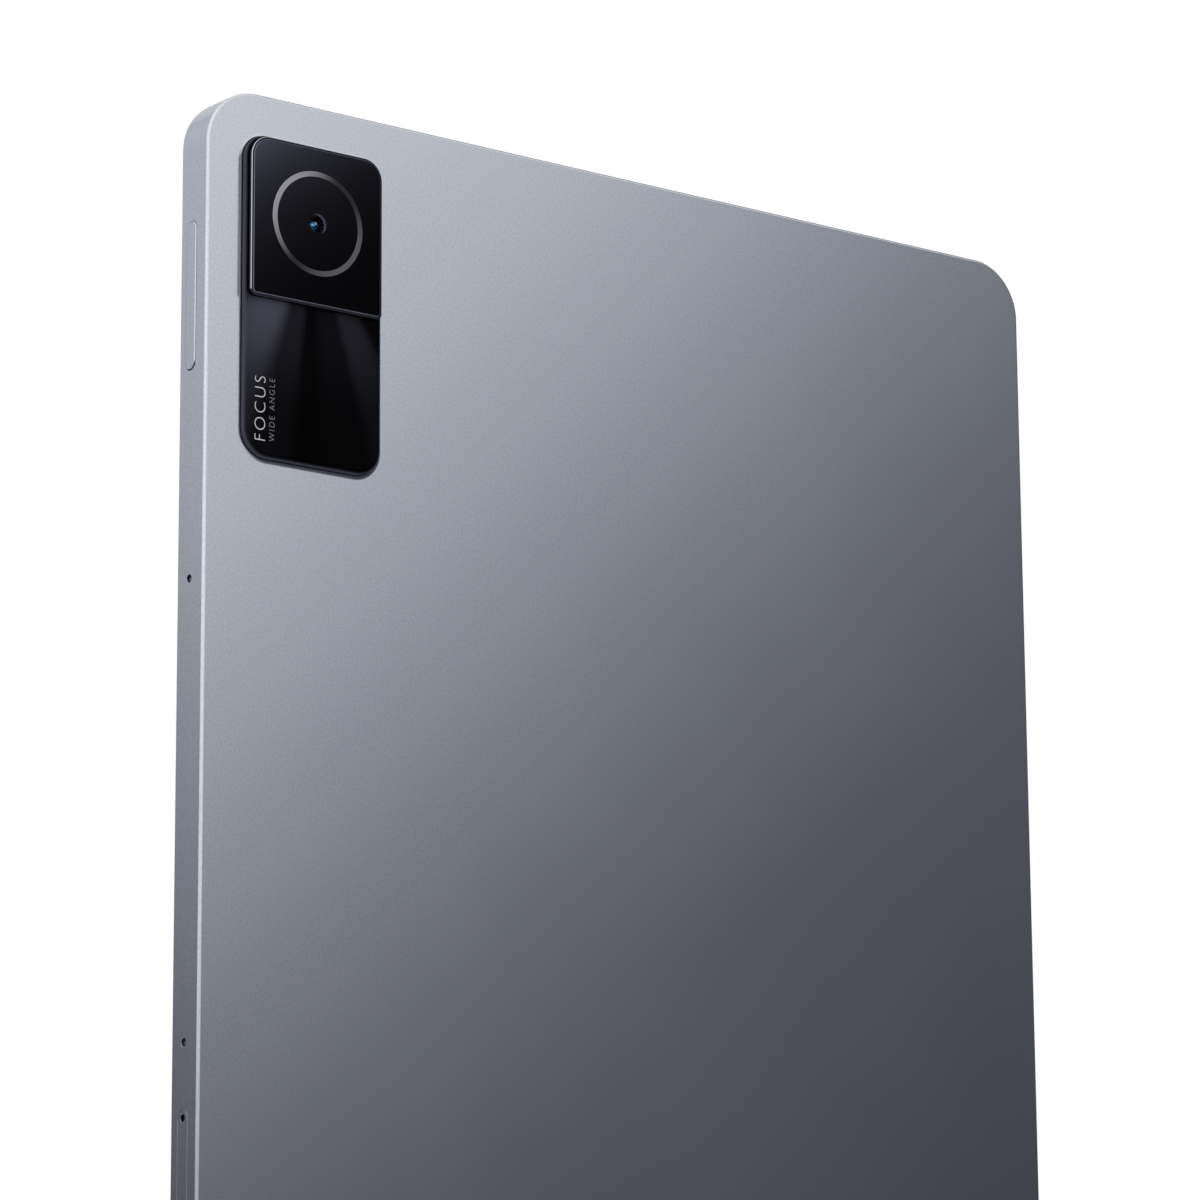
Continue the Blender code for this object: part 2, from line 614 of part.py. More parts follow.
def ring_solid(mesh, centre, inner, outer, low, high, sides=40):
    """A flat ring: four circles skinned in a closed loop."""
    corners = ((inner, low), (outer, low), (outer, high), (inner, high))
    rows = [[mesh.verts.new(facing_back(u, v, depth)) for u, v in circle(centre, radius, sides)]
            for radius, depth in corners]
    faces = []
    for row, after in zip(rows, rows[1:] + rows[:1]):
        for k in range(sides):
            n = (k + 1) % sides
            faces.append(mesh.faces.new((row[k], row[n], after[n], after[k])))
    bmesh.ops.recalc_face_normals(mesh, faces=faces)
    return mesh


def cameras(finishes):
    s, t = LENS_FROM_EDGE, LENS_FROM_TOP
    half = CAMERA_BODY / 2
    housing_back = INNER_BACK + ISLAND_FLANGE_THICKNESS + GAP
    piece("camera_module", plate((s - half, s + half), (t - half, t + half), (housing_back, INNER_FRONT)),
          finishes["black_plastic"])
    lens = (x_at(s), z_at(t))
    barrel_top = GAP + CAMERA_GLASS_THICKNESS - CAMERA_GLASS_PROUD
    recess = barrel_top + BARREL_RECESS
    piece("camera_barrel", turned(bmesh.new(), lens, (
        (BARREL_RADIUS, housing_back - GAP), (BARREL_RADIUS, barrel_top), (BARREL_MOUTH, barrel_top),
        (BARREL_THROAT, recess)), BARREL_SIDES), finishes["black_plastic"])
    lens_back = recess - GAP
    piece("camera_lens", turned(bmesh.new(), lens, (
        (LENS_RADIUS, lens_back), (LENS_RADIUS, lens_back - LENS_THICKNESS / 2),
        (LENS_RADIUS / 2, lens_back - LENS_THICKNESS)), LENS_SIDES), finishes["lens"])
    flex = CAMERA_FLEX_WIDTH / 2
    piece("camera_flex", plate((s - flex, s + flex), (t + half + GAP, MAINBOARD_FROM_TOP + CAMERA_FLEX_LAP),
                               (ON_BOARD, ON_BOARD + FLEX_THICKNESS)), finishes["flex"])

    half = FRONT_CAMERA_BODY / 2
    s, t = (WALL_FACE + BACKLIGHT_EDGE - GAP) / 2, BODY_HEIGHT / 2
    back = PANEL_FRONT - FRONT_LENS_HEIGHT - GAP - FRONT_CAMERA_DEPTH
    front = back + FRONT_CAMERA_DEPTH
    piece("front_camera", plate((s - half, s + half), (t - half, t + half), (back, front)),
          finishes["black_plastic"])
    lens_front = front + GAP + FRONT_LENS_HEIGHT
    piece("front_camera_lens", turned(bmesh.new(), (x_at(s), z_at(t)), (
        (FRONT_LENS_RADIUS, front + GAP), (FRONT_LENS_RADIUS, lens_front - FRONT_LENS_HEIGHT / 2),
        (FRONT_LENS_RADIUS / 2, lens_front)), LENS_SIDES), finishes["lens"])


# ================================================================ keys
def volume_key_middle():
    """Centre of the volume key's inner face, on which it rocks."""
    inner = WALL_FACE + KEY_FLANGE
    return Vector((x_at(inner), -KEY_DEPTH, z_at(VOLUME_KEY_FROM_TOP + VOLUME_KEY_LENGTH / 2)))


def power_key_middle():
    """Centre of the power key's inner face."""
    inner = WALL_FACE + KEY_FLANGE
    return Vector((x_at(POWER_KEY_FROM_EDGE), -KEY_DEPTH, z_at(inner)))


def key_body(length, along, inner, face, facing):
    """A key cap with a flange behind the wall; face is where its outer face stands."""
    wall = inner + (KEY_FLANGE if face > inner else -KEY_FLANGE)
    edge = KEY_EDGE if face > inner else -KEY_EDGE
    flange = (length + 2 * KEY_FLANGE_LAP, KEY_WIDTH + 2 * KEY_FLANGE_LAP)
    profile = (
        (flange, inner), (flange, wall),
        ((length, KEY_WIDTH), wall), ((length, KEY_WIDTH), face - edge),
        ((length - 2 * KEY_EDGE, KEY_WIDTH - 2 * KEY_EDGE), face),
    )
    mesh = bmesh.new()
    rings = []
    for size, w in profile:
        outline = rounded_rectangle((along, KEY_DEPTH), size, min(size) / 2, SLOT_STEPS)
        rings.append([facing(u, v, w) for u, v in outline])
    return loft(mesh, rings)


def switch_strip(length, offsets, along, inner, outwards, facing):
    """A strip with one dome switch for each offset, GAP short of the key."""
    domes = inner - outwards * (GAP + SWITCH_DOME_HEIGHT)
    strip = domes - outwards * SWITCH_STRIP
    mesh = bmesh.new()
    outline = rounded_rectangle((along, KEY_DEPTH), (length, KEY_WIDTH), SWITCH_CORNER, 3)
    prism(mesh, outline, strip, domes, facing)
    added = bmesh.new()
    middle = (strip + domes) / 2
    for offset in offsets:
        rings = []
        top = domes + outwards * SWITCH_DOME_HEIGHT
        for radius, w in ((SWITCH_DOME_RADIUS, middle), (SWITCH_DOME_RADIUS, domes),
                          (SWITCH_DOME_RADIUS * SWITCH_DOME_TOP, top)):
            dome = circle((along + offset, KEY_DEPTH), radius, SMALL_SIDES)
            rings.append([facing(u, v, w) for u, v in dome])
        loft(added, rings)
    return mesh, added


def keys(finishes):
    for name, length, middle, offsets, facing, along, inner, edge in (
            ("volume", VOLUME_KEY_LENGTH, volume_key_middle(), (-SWITCH_OFFSET, SWITCH_OFFSET),
             facing_side, 2, 0, BODY_WIDTH / 2),
            ("power", POWER_KEY_LENGTH, power_key_middle(), (0.0,),
             facing_top, 0, 2, BODY_HEIGHT / 2)):
        mesh = key_body(length, middle[along], middle[inner], edge + KEY_PROUD, facing)
        piece(f"{name}_key", mesh, finishes["keys"], pivot=middle)
        mesh, domes = switch_strip(length, offsets, middle[along], middle[inner], 1, facing)
        strip_name = "volume_switches" if len(offsets) > 1 else "power_switch"
        join(piece(strip_name, mesh, finishes["steel"]), domes)


# ================================================================ card tray and its socket
def card_tray(finishes):
    plate_outer = BODY_WIDTH / 2
    plate_inner = plate_outer - TRAY_PLATE_THICKNESS
    tray_end = TRAY_PLATE_THICKNESS + TRAY_LENGTH
    middle = z_at(TRAY_FROM_TOP + TRAY_PLATE_LENGTH / 2)
    front_face = bmesh.new()
    outline = rounded_rectangle((middle, TRAY_PLATE_DEPTH), (TRAY_PLATE_LENGTH, TRAY_PLATE_WIDTH),
                                TRAY_PLATE_WIDTH / 2, SLOT_STEPS)
    prism(front_face, outline, plate_inner, plate_outer, facing_side)
    pivot = Vector((plate_outer, -TRAY_PLATE_DEPTH, middle))
    tray = piece("card_tray", front_face, finishes["keys"], pivot=pivot)
    overlap = TRAY_PLATE_THICKNESS / 2
    join(tray, block((overlap, tray_end), (TRAY_HIGH, TRAY_LOW), (TRAY_BACK, TRAY_FRONT)))
    windows = block((TRAY_PLATE_THICKNESS + TRAY_RAIL, tray_end - TRAY_RAIL),
                    (TRAY_HIGH + TRAY_RAIL, TRAY_LOW - TRAY_RAIL), (TRAY_BACK - GAP, TRAY_FRONT + GAP))
    pin = circle((z_at(TRAY_FROM_TOP + TRAY_PLATE_WIDTH / 2), TRAY_PLATE_DEPTH), PIN_HOLE, SMALL_SIDES)
    prism(windows, pin, plate_inner - PAST, plate_outer + PAST, facing_side)
    cut(tray, windows)

    room = (tray_end + GAP, TRAY_HIGH - GAP, TRAY_LOW + GAP)
    socket = piece("card_socket", block(
        (WALL_FACE, room[0] + SOCKET_SHEET), (room[1] - SOCKET_SHEET, room[2] + SOCKET_SHEET),
        (SOCKET_BACK, SOCKET_FRONT)), finishes["steel"])
    cut(socket, block((0.0, room[0]), room[1:], (TRAY_BACK - GAP, TRAY_FRONT + GAP)))


# ================================================================ boards
def board_with_holes(name, mesh, finish, screws):
    """A circuit board with a hole for each of its screws."""
    board = piece(name, mesh, finish)
    holes = bmesh.new()
    for label, s, t in screw_places():
        if label.startswith(screws):
            turned(holes, (x_at(s), z_at(t)), SCREW_HOLE_ENDS, TINY_SIDES)
    return board, holes


def boards(finishes):
    low = MAINBOARD_FROM_TOP + MAINBOARD_HEIGHT
    mesh = plate((BOARD_EDGE, BOARD_END), (MAINBOARD_FROM_TOP, low), (BOARD_BACK, BOARD_FRONT))
    mainboard, holes = board_with_holes("mainboard", mesh, finishes["board"], "mainboard_screw")
    socket_end = TRAY_PLATE_THICKNESS + TRAY_LENGTH + 2 * GAP + SOCKET_SHEET
    side = GAP + SOCKET_SHEET + GAP
    block((0.0, socket_end), (TRAY_HIGH - side, TRAY_LOW + side), (BOARD_BACK - GAP, ON_BOARD), holes)
    cut(mainboard, holes)

    t = MAINBOARD_FROM_TOP + SHIELD_FIRST
    for name, height in SHIELD_HEIGHTS.items():
        mesh = plate((BOARD_EDGE + SHIELD_MARGIN + GAP, BOARD_END - SHIELD_FAR_MARGIN), (t, t + height),
                     (ON_BOARD, INNER_FRONT))
        piece(f"{name}_shield", mesh, finishes["steel"])
        t += height + SHIELD_SPACING

    middle = BODY_WIDTH / 2
    high = from_bottom(WALL_FACE + USB_BOARD_HEIGHT)
    mesh = plate((middle - USB_BOARD_WIDTH / 2, middle + USB_BOARD_WIDTH / 2),
                 (high, from_bottom(WALL_FACE)), (BOARD_BACK, BOARD_FRONT))
    usb_board, holes = board_with_holes("usb_board", mesh, finishes["board"], "usb_board_screw")
    half = USB_WIDTH / 2 + GAP
    notch = from_bottom(USB_INSET + USB_LENGTH + GAP)
    block((middle - half, middle + half), (notch, BODY_HEIGHT), (BOARD_BACK - GAP, ON_BOARD), holes)
    cut(usb_board, holes)


def main_flex(finishes):
    """The ribbon from the mainboard down and across to the USB board."""
    left = BOARD_END - MAIN_FLEX_WIDTH
    start = MAINBOARD_FROM_TOP + MAINBOARD_HEIGHT - MAIN_FLEX_LAP
    usb_high = from_bottom(WALL_FACE + USB_BOARD_HEIGHT)
    across_low = from_bottom(SPEAKER_BACK_EDGE + SPEAKER_DEPTH + GAP)
    across_high = across_low - MAIN_FLEX_ACROSS
    end = BODY_WIDTH / 2 - USB_SCREW_SPACING / 2 + 2 * SCREW_HEAD_RADIUS
    route = (
        (left, start), (BOARD_END, start), (BOARD_END, across_high), (end + MAIN_FLEX_ACROSS, across_high),
        (end + MAIN_FLEX_ACROSS, usb_high + MAIN_FLEX_ACROSS), (end, usb_high + MAIN_FLEX_ACROSS),
        (end, across_low), (left, across_low),
    )
    outline = [(x_at(s), z_at(t)) for s, t in route]
    mesh = prism(bmesh.new(), outline, ON_BOARD, ON_BOARD + FLEX_THICKNESS, facing_back)
    piece("main_flex", mesh, finishes["flex"])


def usb_socket(finishes):
    """The metal shell of the USB-C socket, open at the bottom edge, and its tongue."""
    mouth = -BODY_HEIGHT / 2 + USB_INSET
    back = mouth + USB_LENGTH
    outline = rounded_rectangle((0, USB_DEPTH), (USB_WIDTH, USB_HEIGHT), USB_HEIGHT / 2, SLOT_STEPS)
    shell = piece("usb_shell", prism(bmesh.new(), outline, mouth, back, facing_top), finishes["steel"])
    hollow = rounded_rectangle((0, USB_DEPTH), (USB_WIDTH - 2 * USB_SHEET, USB_HEIGHT - 2 * USB_SHEET),
                               USB_HEIGHT / 2 - USB_SHEET, SLOT_STEPS)
    cut(shell, prism(bmesh.new(), hollow, mouth - PAST, back - USB_BACK, facing_top))
    tongue = rounded_rectangle((0, USB_DEPTH), (USB_TONGUE_WIDTH, USB_TONGUE_THICKNESS), USB_TONGUE_CORNER, 2)
    mesh = prism(bmesh.new(), tongue, mouth + USB_TONGUE_INSET, back - USB_BACK - GAP, facing_top)
    piece("usb_tongue", mesh, finishes["black_plastic"])


# ================================================================ sound
def speakers(finishes):
    for name, low, at_top, ear_side in speaker_places():
        high = low + SPEAKER_LENGTH
        ear = high + SPEAKER_EAR if ear_side > 0 else low - SPEAKER_EAR
        foot = high if ear_side > 0 else low
        other = low if ear_side > 0 else high
        side = ((foot, BOARD_BACK), (ear, BOARD_BACK), (ear, BOARD_FRONT), (foot, BOARD_FRONT))
        profile = [(other, INNER_BACK), (foot, INNER_BACK), *side, (foot, INNER_FRONT), (other, INNER_FRONT)]
        outline = [(x_at(s), depth) for s, depth in profile]
        near, far = z_at(SPEAKER_BACK_EDGE), z_at(SPEAKER_BACK_EDGE + SPEAKER_DEPTH)
        ends = (far, near) if at_top else (-near, -far)
        box = piece(name, prism(bmesh.new(), outline, *ends, facing_top), finishes["black_plastic"])
        holes = bmesh.new()
        for label, s, t in screw_places():
            if label == f"{name}_screw":
                turned(holes, (x_at(s), z_at(t)), SCREW_HOLE_ENDS, TINY_SIDES)
        cut(box, holes)

        half = GRILLE_PITCH * GRILLE_COUNT / 2
        middle = low + SPEAKER_LENGTH / 2
        t = (WALL_FACE, WALL_FACE + SPEAKER_MESH)
        if not at_top:
            t = (from_bottom(t[1]), from_bottom(t[0]))
        reach = GRILLE_HOLE + SPEAKER_MESH_LAP
        mesh = block((middle - half, middle + half), t, (GRILLE_DEPTH - reach, GRILLE_DEPTH + reach))
        piece(f"{name}_mesh", mesh, finishes["steel"])


def microphones(finishes):
    for number, t in enumerate(MICROPHONES_FROM_TOP, 1):
        half = MICROPHONE_LENGTH / 2
        span = (t - half, t + half)
        depth = (MICROPHONE_DEPTH - MICROPHONE_HEIGHT / 2, MICROPHONE_DEPTH + MICROPHONE_HEIGHT / 2)
        seal = piece(f"microphone_seal_{number}", block((WALL_FACE, WALL_FACE + SEAL_THICKNESS), span, depth),
                     finishes["rubber"])
        ends = (x_at(WALL_FACE + SEAL_THICKNESS) - GAP, x_at(WALL_FACE) + GAP)
        cut(seal, prism(bmesh.new(), circle((z_at(t), MICROPHONE_DEPTH), MICROPHONE_HOLE, TINY_SIDES),
                        *ends, facing_side))
        start = WALL_FACE + SEAL_THICKNESS + GAP
        piece(f"microphone_{number}", block((start, start + MICROPHONE_THICKNESS), span, depth),
              finishes["brass"])


# ================================================================ battery, antennas, screws
def battery(finishes):
    start = BOARD_END + BATTERY_CLEARANCE
    cells = start + BATTERY_BOARD_WIDTH + GAP
    end = from_far_edge(SIDE_WALL + BATTERY_CLEARANCE + ANTENNA_WIDTH + GAP)
    width = (end - cells - CELL_SPACING) / 2
    span = (BATTERY_FROM_TOP, from_bottom(BATTERY_FROM_BOTTOM))
    for number in (1, 2):
        s = cells + (number - 1) * (width + CELL_SPACING)
        mesh = plate((s, s + width), span, (INNER_BACK, INNER_FRONT), BATTERY_CORNER, 4)
        piece(f"battery_cell_{number}", mesh, finishes["battery"])
    board = (INNER_BACK, INNER_BACK + BATTERY_BOARD_THICKNESS)
    t = BATTERY_BOARD_FROM_TOP
    piece("battery_board", plate((start, start + BATTERY_BOARD_WIDTH), (t, t + BATTERY_BOARD_LENGTH), board),
          finishes["board"])
    plug = (BOARD_END - BATTERY_PLUG_WIDTH, BOARD_END)
    span = (BATTERY_PLUG_FROM_TOP, BATTERY_PLUG_FROM_TOP + BATTERY_PLUG_LENGTH)
    front = max(ON_BOARD, board[1] + GAP)
    piece("battery_plug", plate(plug, span, (ON_BOARD, ON_BOARD + BATTERY_PLUG_HEIGHT)),
          finishes["black_plastic"])
    mesh = plate((BOARD_END + GAP, start + BATTERY_BOARD_WIDTH - GAP), span, (front, front + FLEX_THICKNESS))
    piece("battery_lead", mesh, finishes["flex"])


def antennas(finishes):
    edge = from_far_edge(WALL_FACE)
    for number, t in enumerate(ANTENNAS_FROM_TOP, 1):
        mesh = plate((edge - ANTENNA_WIDTH, edge), (t, t + ANTENNA_LENGTH), (INNER_BACK, INNER_FRONT))
        piece(f"antenna_{number}", mesh, finishes["antenna"])


def screws(finishes):
    """Flat-headed screws with a round socket, from the display side into the bosses."""
    top = ON_BOARD + SCREW_HEAD
    profile = (
        (SCREW_SOCKET_RADIUS, top - SCREW_SOCKET), (SCREW_SOCKET_RADIUS, top), (SCREW_HEAD_RADIUS, top),
        (SCREW_HEAD_RADIUS, ON_BOARD), (SCREW_SHANK_RADIUS, ON_BOARD), (SCREW_SHANK_RADIUS, BOSS_FLOOR + GAP),
    )
    for name, s, t in screw_places():
        piece(name, turned(bmesh.new(), (x_at(s), z_at(t)), profile, TINY_SIDES), finishes["steel"])


# ================================================================ the tablet
def all_finishes():
    return {
        "anodised": material("anodised_grey_aluminium", (0.33, 0.34, 0.36), 0.38, 1.0),
        "keys": material("key_aluminium", (0.33, 0.34, 0.36), 0.3, 1.0),
        "cover_glass": material("cover_glass", (0.01, 0.01, 0.012), 0.04),
        "camera_glass": material("camera_glass", (0.01, 0.01, 0.014), 0.04),
        "gloss_black": material("gloss_black", (0.01, 0.01, 0.012), 0.12),
        "black_plastic": material("black_plastic", (0.02, 0.02, 0.02), 0.5),
        "ring": material("spun_metal", (0.4, 0.4, 0.42), 0.25, 1.0),
        "lens": material("lens", (0.02, 0.05, 0.12), 0.02),
        "adhesive": material("adhesive", (0.03, 0.03, 0.03), 0.8),
        "lcd_panel": material("lcd_panel", (0.02, 0.02, 0.025), 0.2),
        "backlight": material("backlight", (0.8, 0.8, 0.8), 0.3, 0.6),
        "board": material("board_green", (0.02, 0.16, 0.08), 0.5),
        "steel": material("steel", (0.6, 0.6, 0.6), 0.35, 1.0),
        "brass": material("brass", (0.7, 0.55, 0.25), 0.35, 1.0),
        "flex": material("flex_film", (0.55, 0.3, 0.05), 0.4),
        "battery": material("battery_pouch", (0.05, 0.05, 0.055), 0.45),
        "rubber": material("rubber", (0.03, 0.03, 0.03), 0.9),
        "antenna": material("antenna_carrier", (0.1, 0.1, 0.1), 0.6),
    }


for old in list(bpy.data.objects):
    bpy.data.objects.remove(old, do_unlink=True)
TABLET = bpy.data.objects.new("tablet", None)
bpy.context.collection.objects.link(TABLET)
TOOL_FINISH = material("tool", (1.0, 0.2, 0.1), 0.5)

FINISHES = all_finishes()
rear_cover(FINISHES["anodised"])
for build in (display, camera_island, cameras, keys, card_tray, boards, main_flex, usb_socket,
              speakers, microphones, battery, antennas, screws):
    build(FINISHES)
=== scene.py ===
# %% [markdown]
# # A slim tablet computer, seen from its metal back
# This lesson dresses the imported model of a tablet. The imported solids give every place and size,
# and nothing here moves them. What shows from outside is made again as fine numpy surfaces:
# the metal back, the camera island, the keys, the card tray and the front glass. What lies inside
# keeps its solid and gets a finish of its own.

# %% The frame and its boxes
import math

import bmesh
import bpy
import numpy as np
from mathutils import Matrix, Vector
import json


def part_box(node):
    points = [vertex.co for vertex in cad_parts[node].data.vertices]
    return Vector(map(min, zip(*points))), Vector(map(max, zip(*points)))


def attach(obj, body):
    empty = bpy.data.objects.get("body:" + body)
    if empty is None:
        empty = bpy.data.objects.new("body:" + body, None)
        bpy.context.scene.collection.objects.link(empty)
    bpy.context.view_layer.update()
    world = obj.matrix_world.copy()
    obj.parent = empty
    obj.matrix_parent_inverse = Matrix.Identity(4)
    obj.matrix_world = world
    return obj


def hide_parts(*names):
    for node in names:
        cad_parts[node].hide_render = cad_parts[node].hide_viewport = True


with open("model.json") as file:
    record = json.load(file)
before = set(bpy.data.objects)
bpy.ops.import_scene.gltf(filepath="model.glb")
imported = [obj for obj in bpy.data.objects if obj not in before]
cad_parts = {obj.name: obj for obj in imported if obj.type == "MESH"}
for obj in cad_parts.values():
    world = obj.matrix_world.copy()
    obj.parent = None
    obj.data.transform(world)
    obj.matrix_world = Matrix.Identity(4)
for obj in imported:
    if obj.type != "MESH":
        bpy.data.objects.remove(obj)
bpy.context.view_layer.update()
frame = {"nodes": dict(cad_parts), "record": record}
MM = 0.001

cover_low, cover_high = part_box("rear_cover")
WIDTH = 2 * cover_high.x
HEIGHT = 2 * cover_high.z
RIM_DEPTH = -cover_low.y
THICKNESS = -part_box("cover_glass")[0].y
print(f"tablet {WIDTH / MM:.2f} x {HEIGHT / MM:.2f} x {THICKNESS / MM:.2f} mm")

# %% [markdown]
# ## The camera
# A product is best seen from far away with a long lens, because that keeps the edges nearly
# parallel. The camera stands low behind the tablet, on the side of the keys, and looks up along
# the back. Its three turns are written as yaw, pitch and roll, which say more to a reader than a
# matrix. The lower end of the tablet stays outside the frame.

# %% Camera
CAMERA_PLACE = Vector((0.47811, 0.60951, -0.12330))
CAMERA_YAW, CAMERA_PITCH, CAMERA_ROLL = 0.65749, 0.2307, -0.00683
CAMERA_LENS, SENSOR = 157.2, 36.0


def linked(name, data):
    """A new object with this data, linked into the scene."""
    made = bpy.data.objects.new(name, data)
    bpy.context.scene.collection.objects.link(made)
    return made



forward = Vector((-math.sin(CAMERA_YAW) * math.cos(CAMERA_PITCH),
                  -math.cos(CAMERA_YAW) * math.cos(CAMERA_PITCH),
                  math.sin(CAMERA_PITCH)))
right = forward.cross(Vector((0, 0, 1))).normalized()
up = right.cross(forward)
rolled_right = right * math.cos(CAMERA_ROLL) + up * math.sin(CAMERA_ROLL)
rolled_up = up * math.cos(CAMERA_ROLL) - right * math.sin(CAMERA_ROLL)

lens_data = bpy.data.cameras.new("product_camera")
lens_data.lens = CAMERA_LENS
lens_data.sensor_width = SENSOR
lens_data.clip_start = 0.01
camera = linked("product_camera", lens_data)
turn = Matrix((rolled_right, rolled_up, -forward)).transposed()
camera.matrix_world = Matrix.Translation(CAMERA_PLACE) @ turn.to_4x4()
bpy.context.scene.camera = camera
print("camera stands", round(CAMERA_PLACE.length, 3), "m from the middle of the back")

# %% [markdown]
# ## The studio
# Satin metal shows the light around it, so the light makes the look. One very large soft light
# covers the sky above and to the left of the tablet and ends along a straight edge: towards that
# edge the back fades from pale grey to dark grey. It is a little stronger on the side of the keys, so
# that the chamfer there shines as one thin line. It could be an area light, but a light painted
# on the world's directions has no noise and no hot spots. The camera itself sees plain white.

# %% World light
SOFT_LIGHT_TURN, SOFT_LIGHT_RISE = math.radians(56.0), math.radians(44.7)
SOFT_LIGHT_EDGE, SOFT_LIGHT_BLUR = 0.148, 0.06  # cosines from the light's middle
SOFT_LIGHT_POWER, FILL_POWER = 0.9325, 0.06
SOFT_COLOUR, FILL_COLOUR = (0.985, 0.992, 1.0), (0.94, 1.0, 1.22)
SCREEN_SIDE_LOSS = 0.3  # the light loses this share high up towards the screen side
OVERHEAD_SHARE = 0.7  # a second, weaker light above the screen side, for the rounded corner
FADE_LOW, FADE_HIGH = 0.115, 0.128  # the light ends at this height above the horizon
KEY_SIDE_FROM, KEY_SIDE_TO, KEY_SIDE_GAIN = -0.115, 0.385, 0.283  # towards +X the light is stronger
# Where those changes start and end, as the X, Y or Z of a direction of length 1.
KEY_SIDE_DEPTH = (-0.6, 0.3)
OVERHEAD_RISE, OVERHEAD_DEPTH, OVERHEAD_SIDE = (0.36, 0.5), (-0.65, -0.4), (-0.05, 0.25)
LOSS_RISE, LOSS_DEPTH = (0.16, 0.32), (-0.75, -0.5)


def socket_value(node, **values):
    """Sets a node's input sockets by name; an underscore stands for a space."""
    for name, value in values.items():
        node.inputs[name.replace("_", " ")].default_value = value
    return node


def math_node(tree, operation, first, second=None, third=None):
    """One Math node: each operand is a number or another node's socket."""
    node = tree.nodes.new("ShaderNodeMath")
    node.operation = operation
    for socket, operand in zip(node.inputs, (first, second, third)):
        if operand is None:
            continue
        if isinstance(operand, bpy.types.NodeSocket):
            tree.links.new(operand, socket)
        else:
            socket.default_value = operand
    return node.outputs[0]


def product(tree, *factors):
    """Multiplies numbers and sockets together, from the first to the last."""
    result = factors[0]
    for factor in factors[1:]:
        result = math_node(tree, "MULTIPLY", result, factor)
    return result


def split(tree, place):
    """The X, Y and Z of a place or a direction, each under its own name."""
    node = tree.nodes.new("ShaderNodeSeparateXYZ")
    tree.links.new(place, node.inputs[0])
    return node.outputs


def smooth_step(tree, value, low, high, to_low=0.0, to_high=1.0):
    """Carries a value smoothly from one range to another and stops at both ends."""
    node = tree.nodes.new("ShaderNodeMapRange")
    node.interpolation_type = "SMOOTHSTEP"
    tree.links.new(value, node.inputs["Value"])
    socket_value(node, From_Min=low, From_Max=high, To_Min=to_low, To_Max=to_high)
    return node.outputs["Result"]


def mixed(tree, factor, first, second):
    """A colour between two: each is a colour or another node's socket."""
    node = tree.nodes.new("ShaderNodeMix")
    node.data_type = "RGBA"
    sockets = (node.inputs["Factor"], node.inputs[6], node.inputs[7])
    for socket, value in zip(sockets, (factor, first, second)):
        if isinstance(value, bpy.types.NodeSocket):
            tree.links.new(value, socket)
        else:
            socket.default_value = value if socket is sockets[0] else (*value, 1.0)
    return node.outputs[2]


world = bpy.data.worlds.new("studio")
world.use_nodes = True
bpy.context.scene.world = world
sky = world.node_tree
sky.nodes.clear()
direction = sky.nodes.new("ShaderNodeTexCoord").outputs["Generated"]
towards = sky.nodes.new("ShaderNodeVectorMath")
towards.operation = "DOT_PRODUCT"
towards.inputs[1].default_value = (math.sin(SOFT_LIGHT_TURN) * math.cos(SOFT_LIGHT_RISE),
                                   math.cos(SOFT_LIGHT_TURN) * math.cos(SOFT_LIGHT_RISE),
                                   math.sin(SOFT_LIGHT_RISE))
sky.links.new(direction, towards.inputs[0])
inside = smooth_step(sky, towards.outputs["Value"],
                     SOFT_LIGHT_EDGE - SOFT_LIGHT_BLUR, SOFT_LIGHT_EDGE + SOFT_LIGHT_BLUR)
axes = split(sky, direction)
height_fade = smooth_step(sky, axes["Z"], FADE_LOW, FADE_HIGH)
key_side = product(sky, smooth_step(sky, axes["X"], KEY_SIDE_FROM, KEY_SIDE_TO, 0.0, KEY_SIDE_GAIN),
                   smooth_step(sky, axes["Y"], *KEY_SIDE_DEPTH))
lit = product(sky, inside, height_fade, math_node(sky, "ADD", key_side, 1.0))
overhead = product(sky, smooth_step(sky, axes["Z"], *OVERHEAD_RISE),
                   smooth_step(sky, axes["Y"], *OVERHEAD_DEPTH, 1.0, 0.0),
                   smooth_step(sky, axes["X"], *OVERHEAD_SIDE, 1.0, 0.0), OVERHEAD_SHARE)
screen_side = product(sky, smooth_step(sky, axes["Z"], *LOSS_RISE),
                      smooth_step(sky, axes["Y"], *LOSS_DEPTH, SCREEN_SIDE_LOSS, 0.0))
lit = product(sky, lit, math_node(sky, "SUBTRACT", 1.0, screen_side))
lit = math_node(sky, "MAXIMUM", lit, overhead)
strength = math_node(sky, "MULTIPLY_ADD", lit, SOFT_LIGHT_POWER, FILL_POWER)
soft_light = sky.nodes.new("ShaderNodeBackground")
colour = mixed(sky, math_node(sky, "MINIMUM", lit, 1.0), FILL_COLOUR, SOFT_COLOUR)
sky.links.new(colour, soft_light.inputs["Color"])
sky.links.new(strength, soft_light.inputs["Strength"])
white = socket_value(sky.nodes.new("ShaderNodeBackground"), Color=(1, 1, 1, 1), Strength=1.0)
seen = sky.nodes.new("ShaderNodeMixShader")
sky.links.new(sky.nodes.new("ShaderNodeLightPath").outputs["Is Camera Ray"], seen.inputs[0])
sky.links.new(soft_light.outputs[0], seen.inputs[1])
sky.links.new(white.outputs[0], seen.inputs[2])
sky.links.new(seen.outputs[0], sky.nodes.new("ShaderNodeOutputWorld").inputs[0])
bpy.context.scene.view_settings.view_transform = "Standard"
print("soft light rises", round(math.degrees(SOFT_LIGHT_RISE)), "degrees above the horizon")

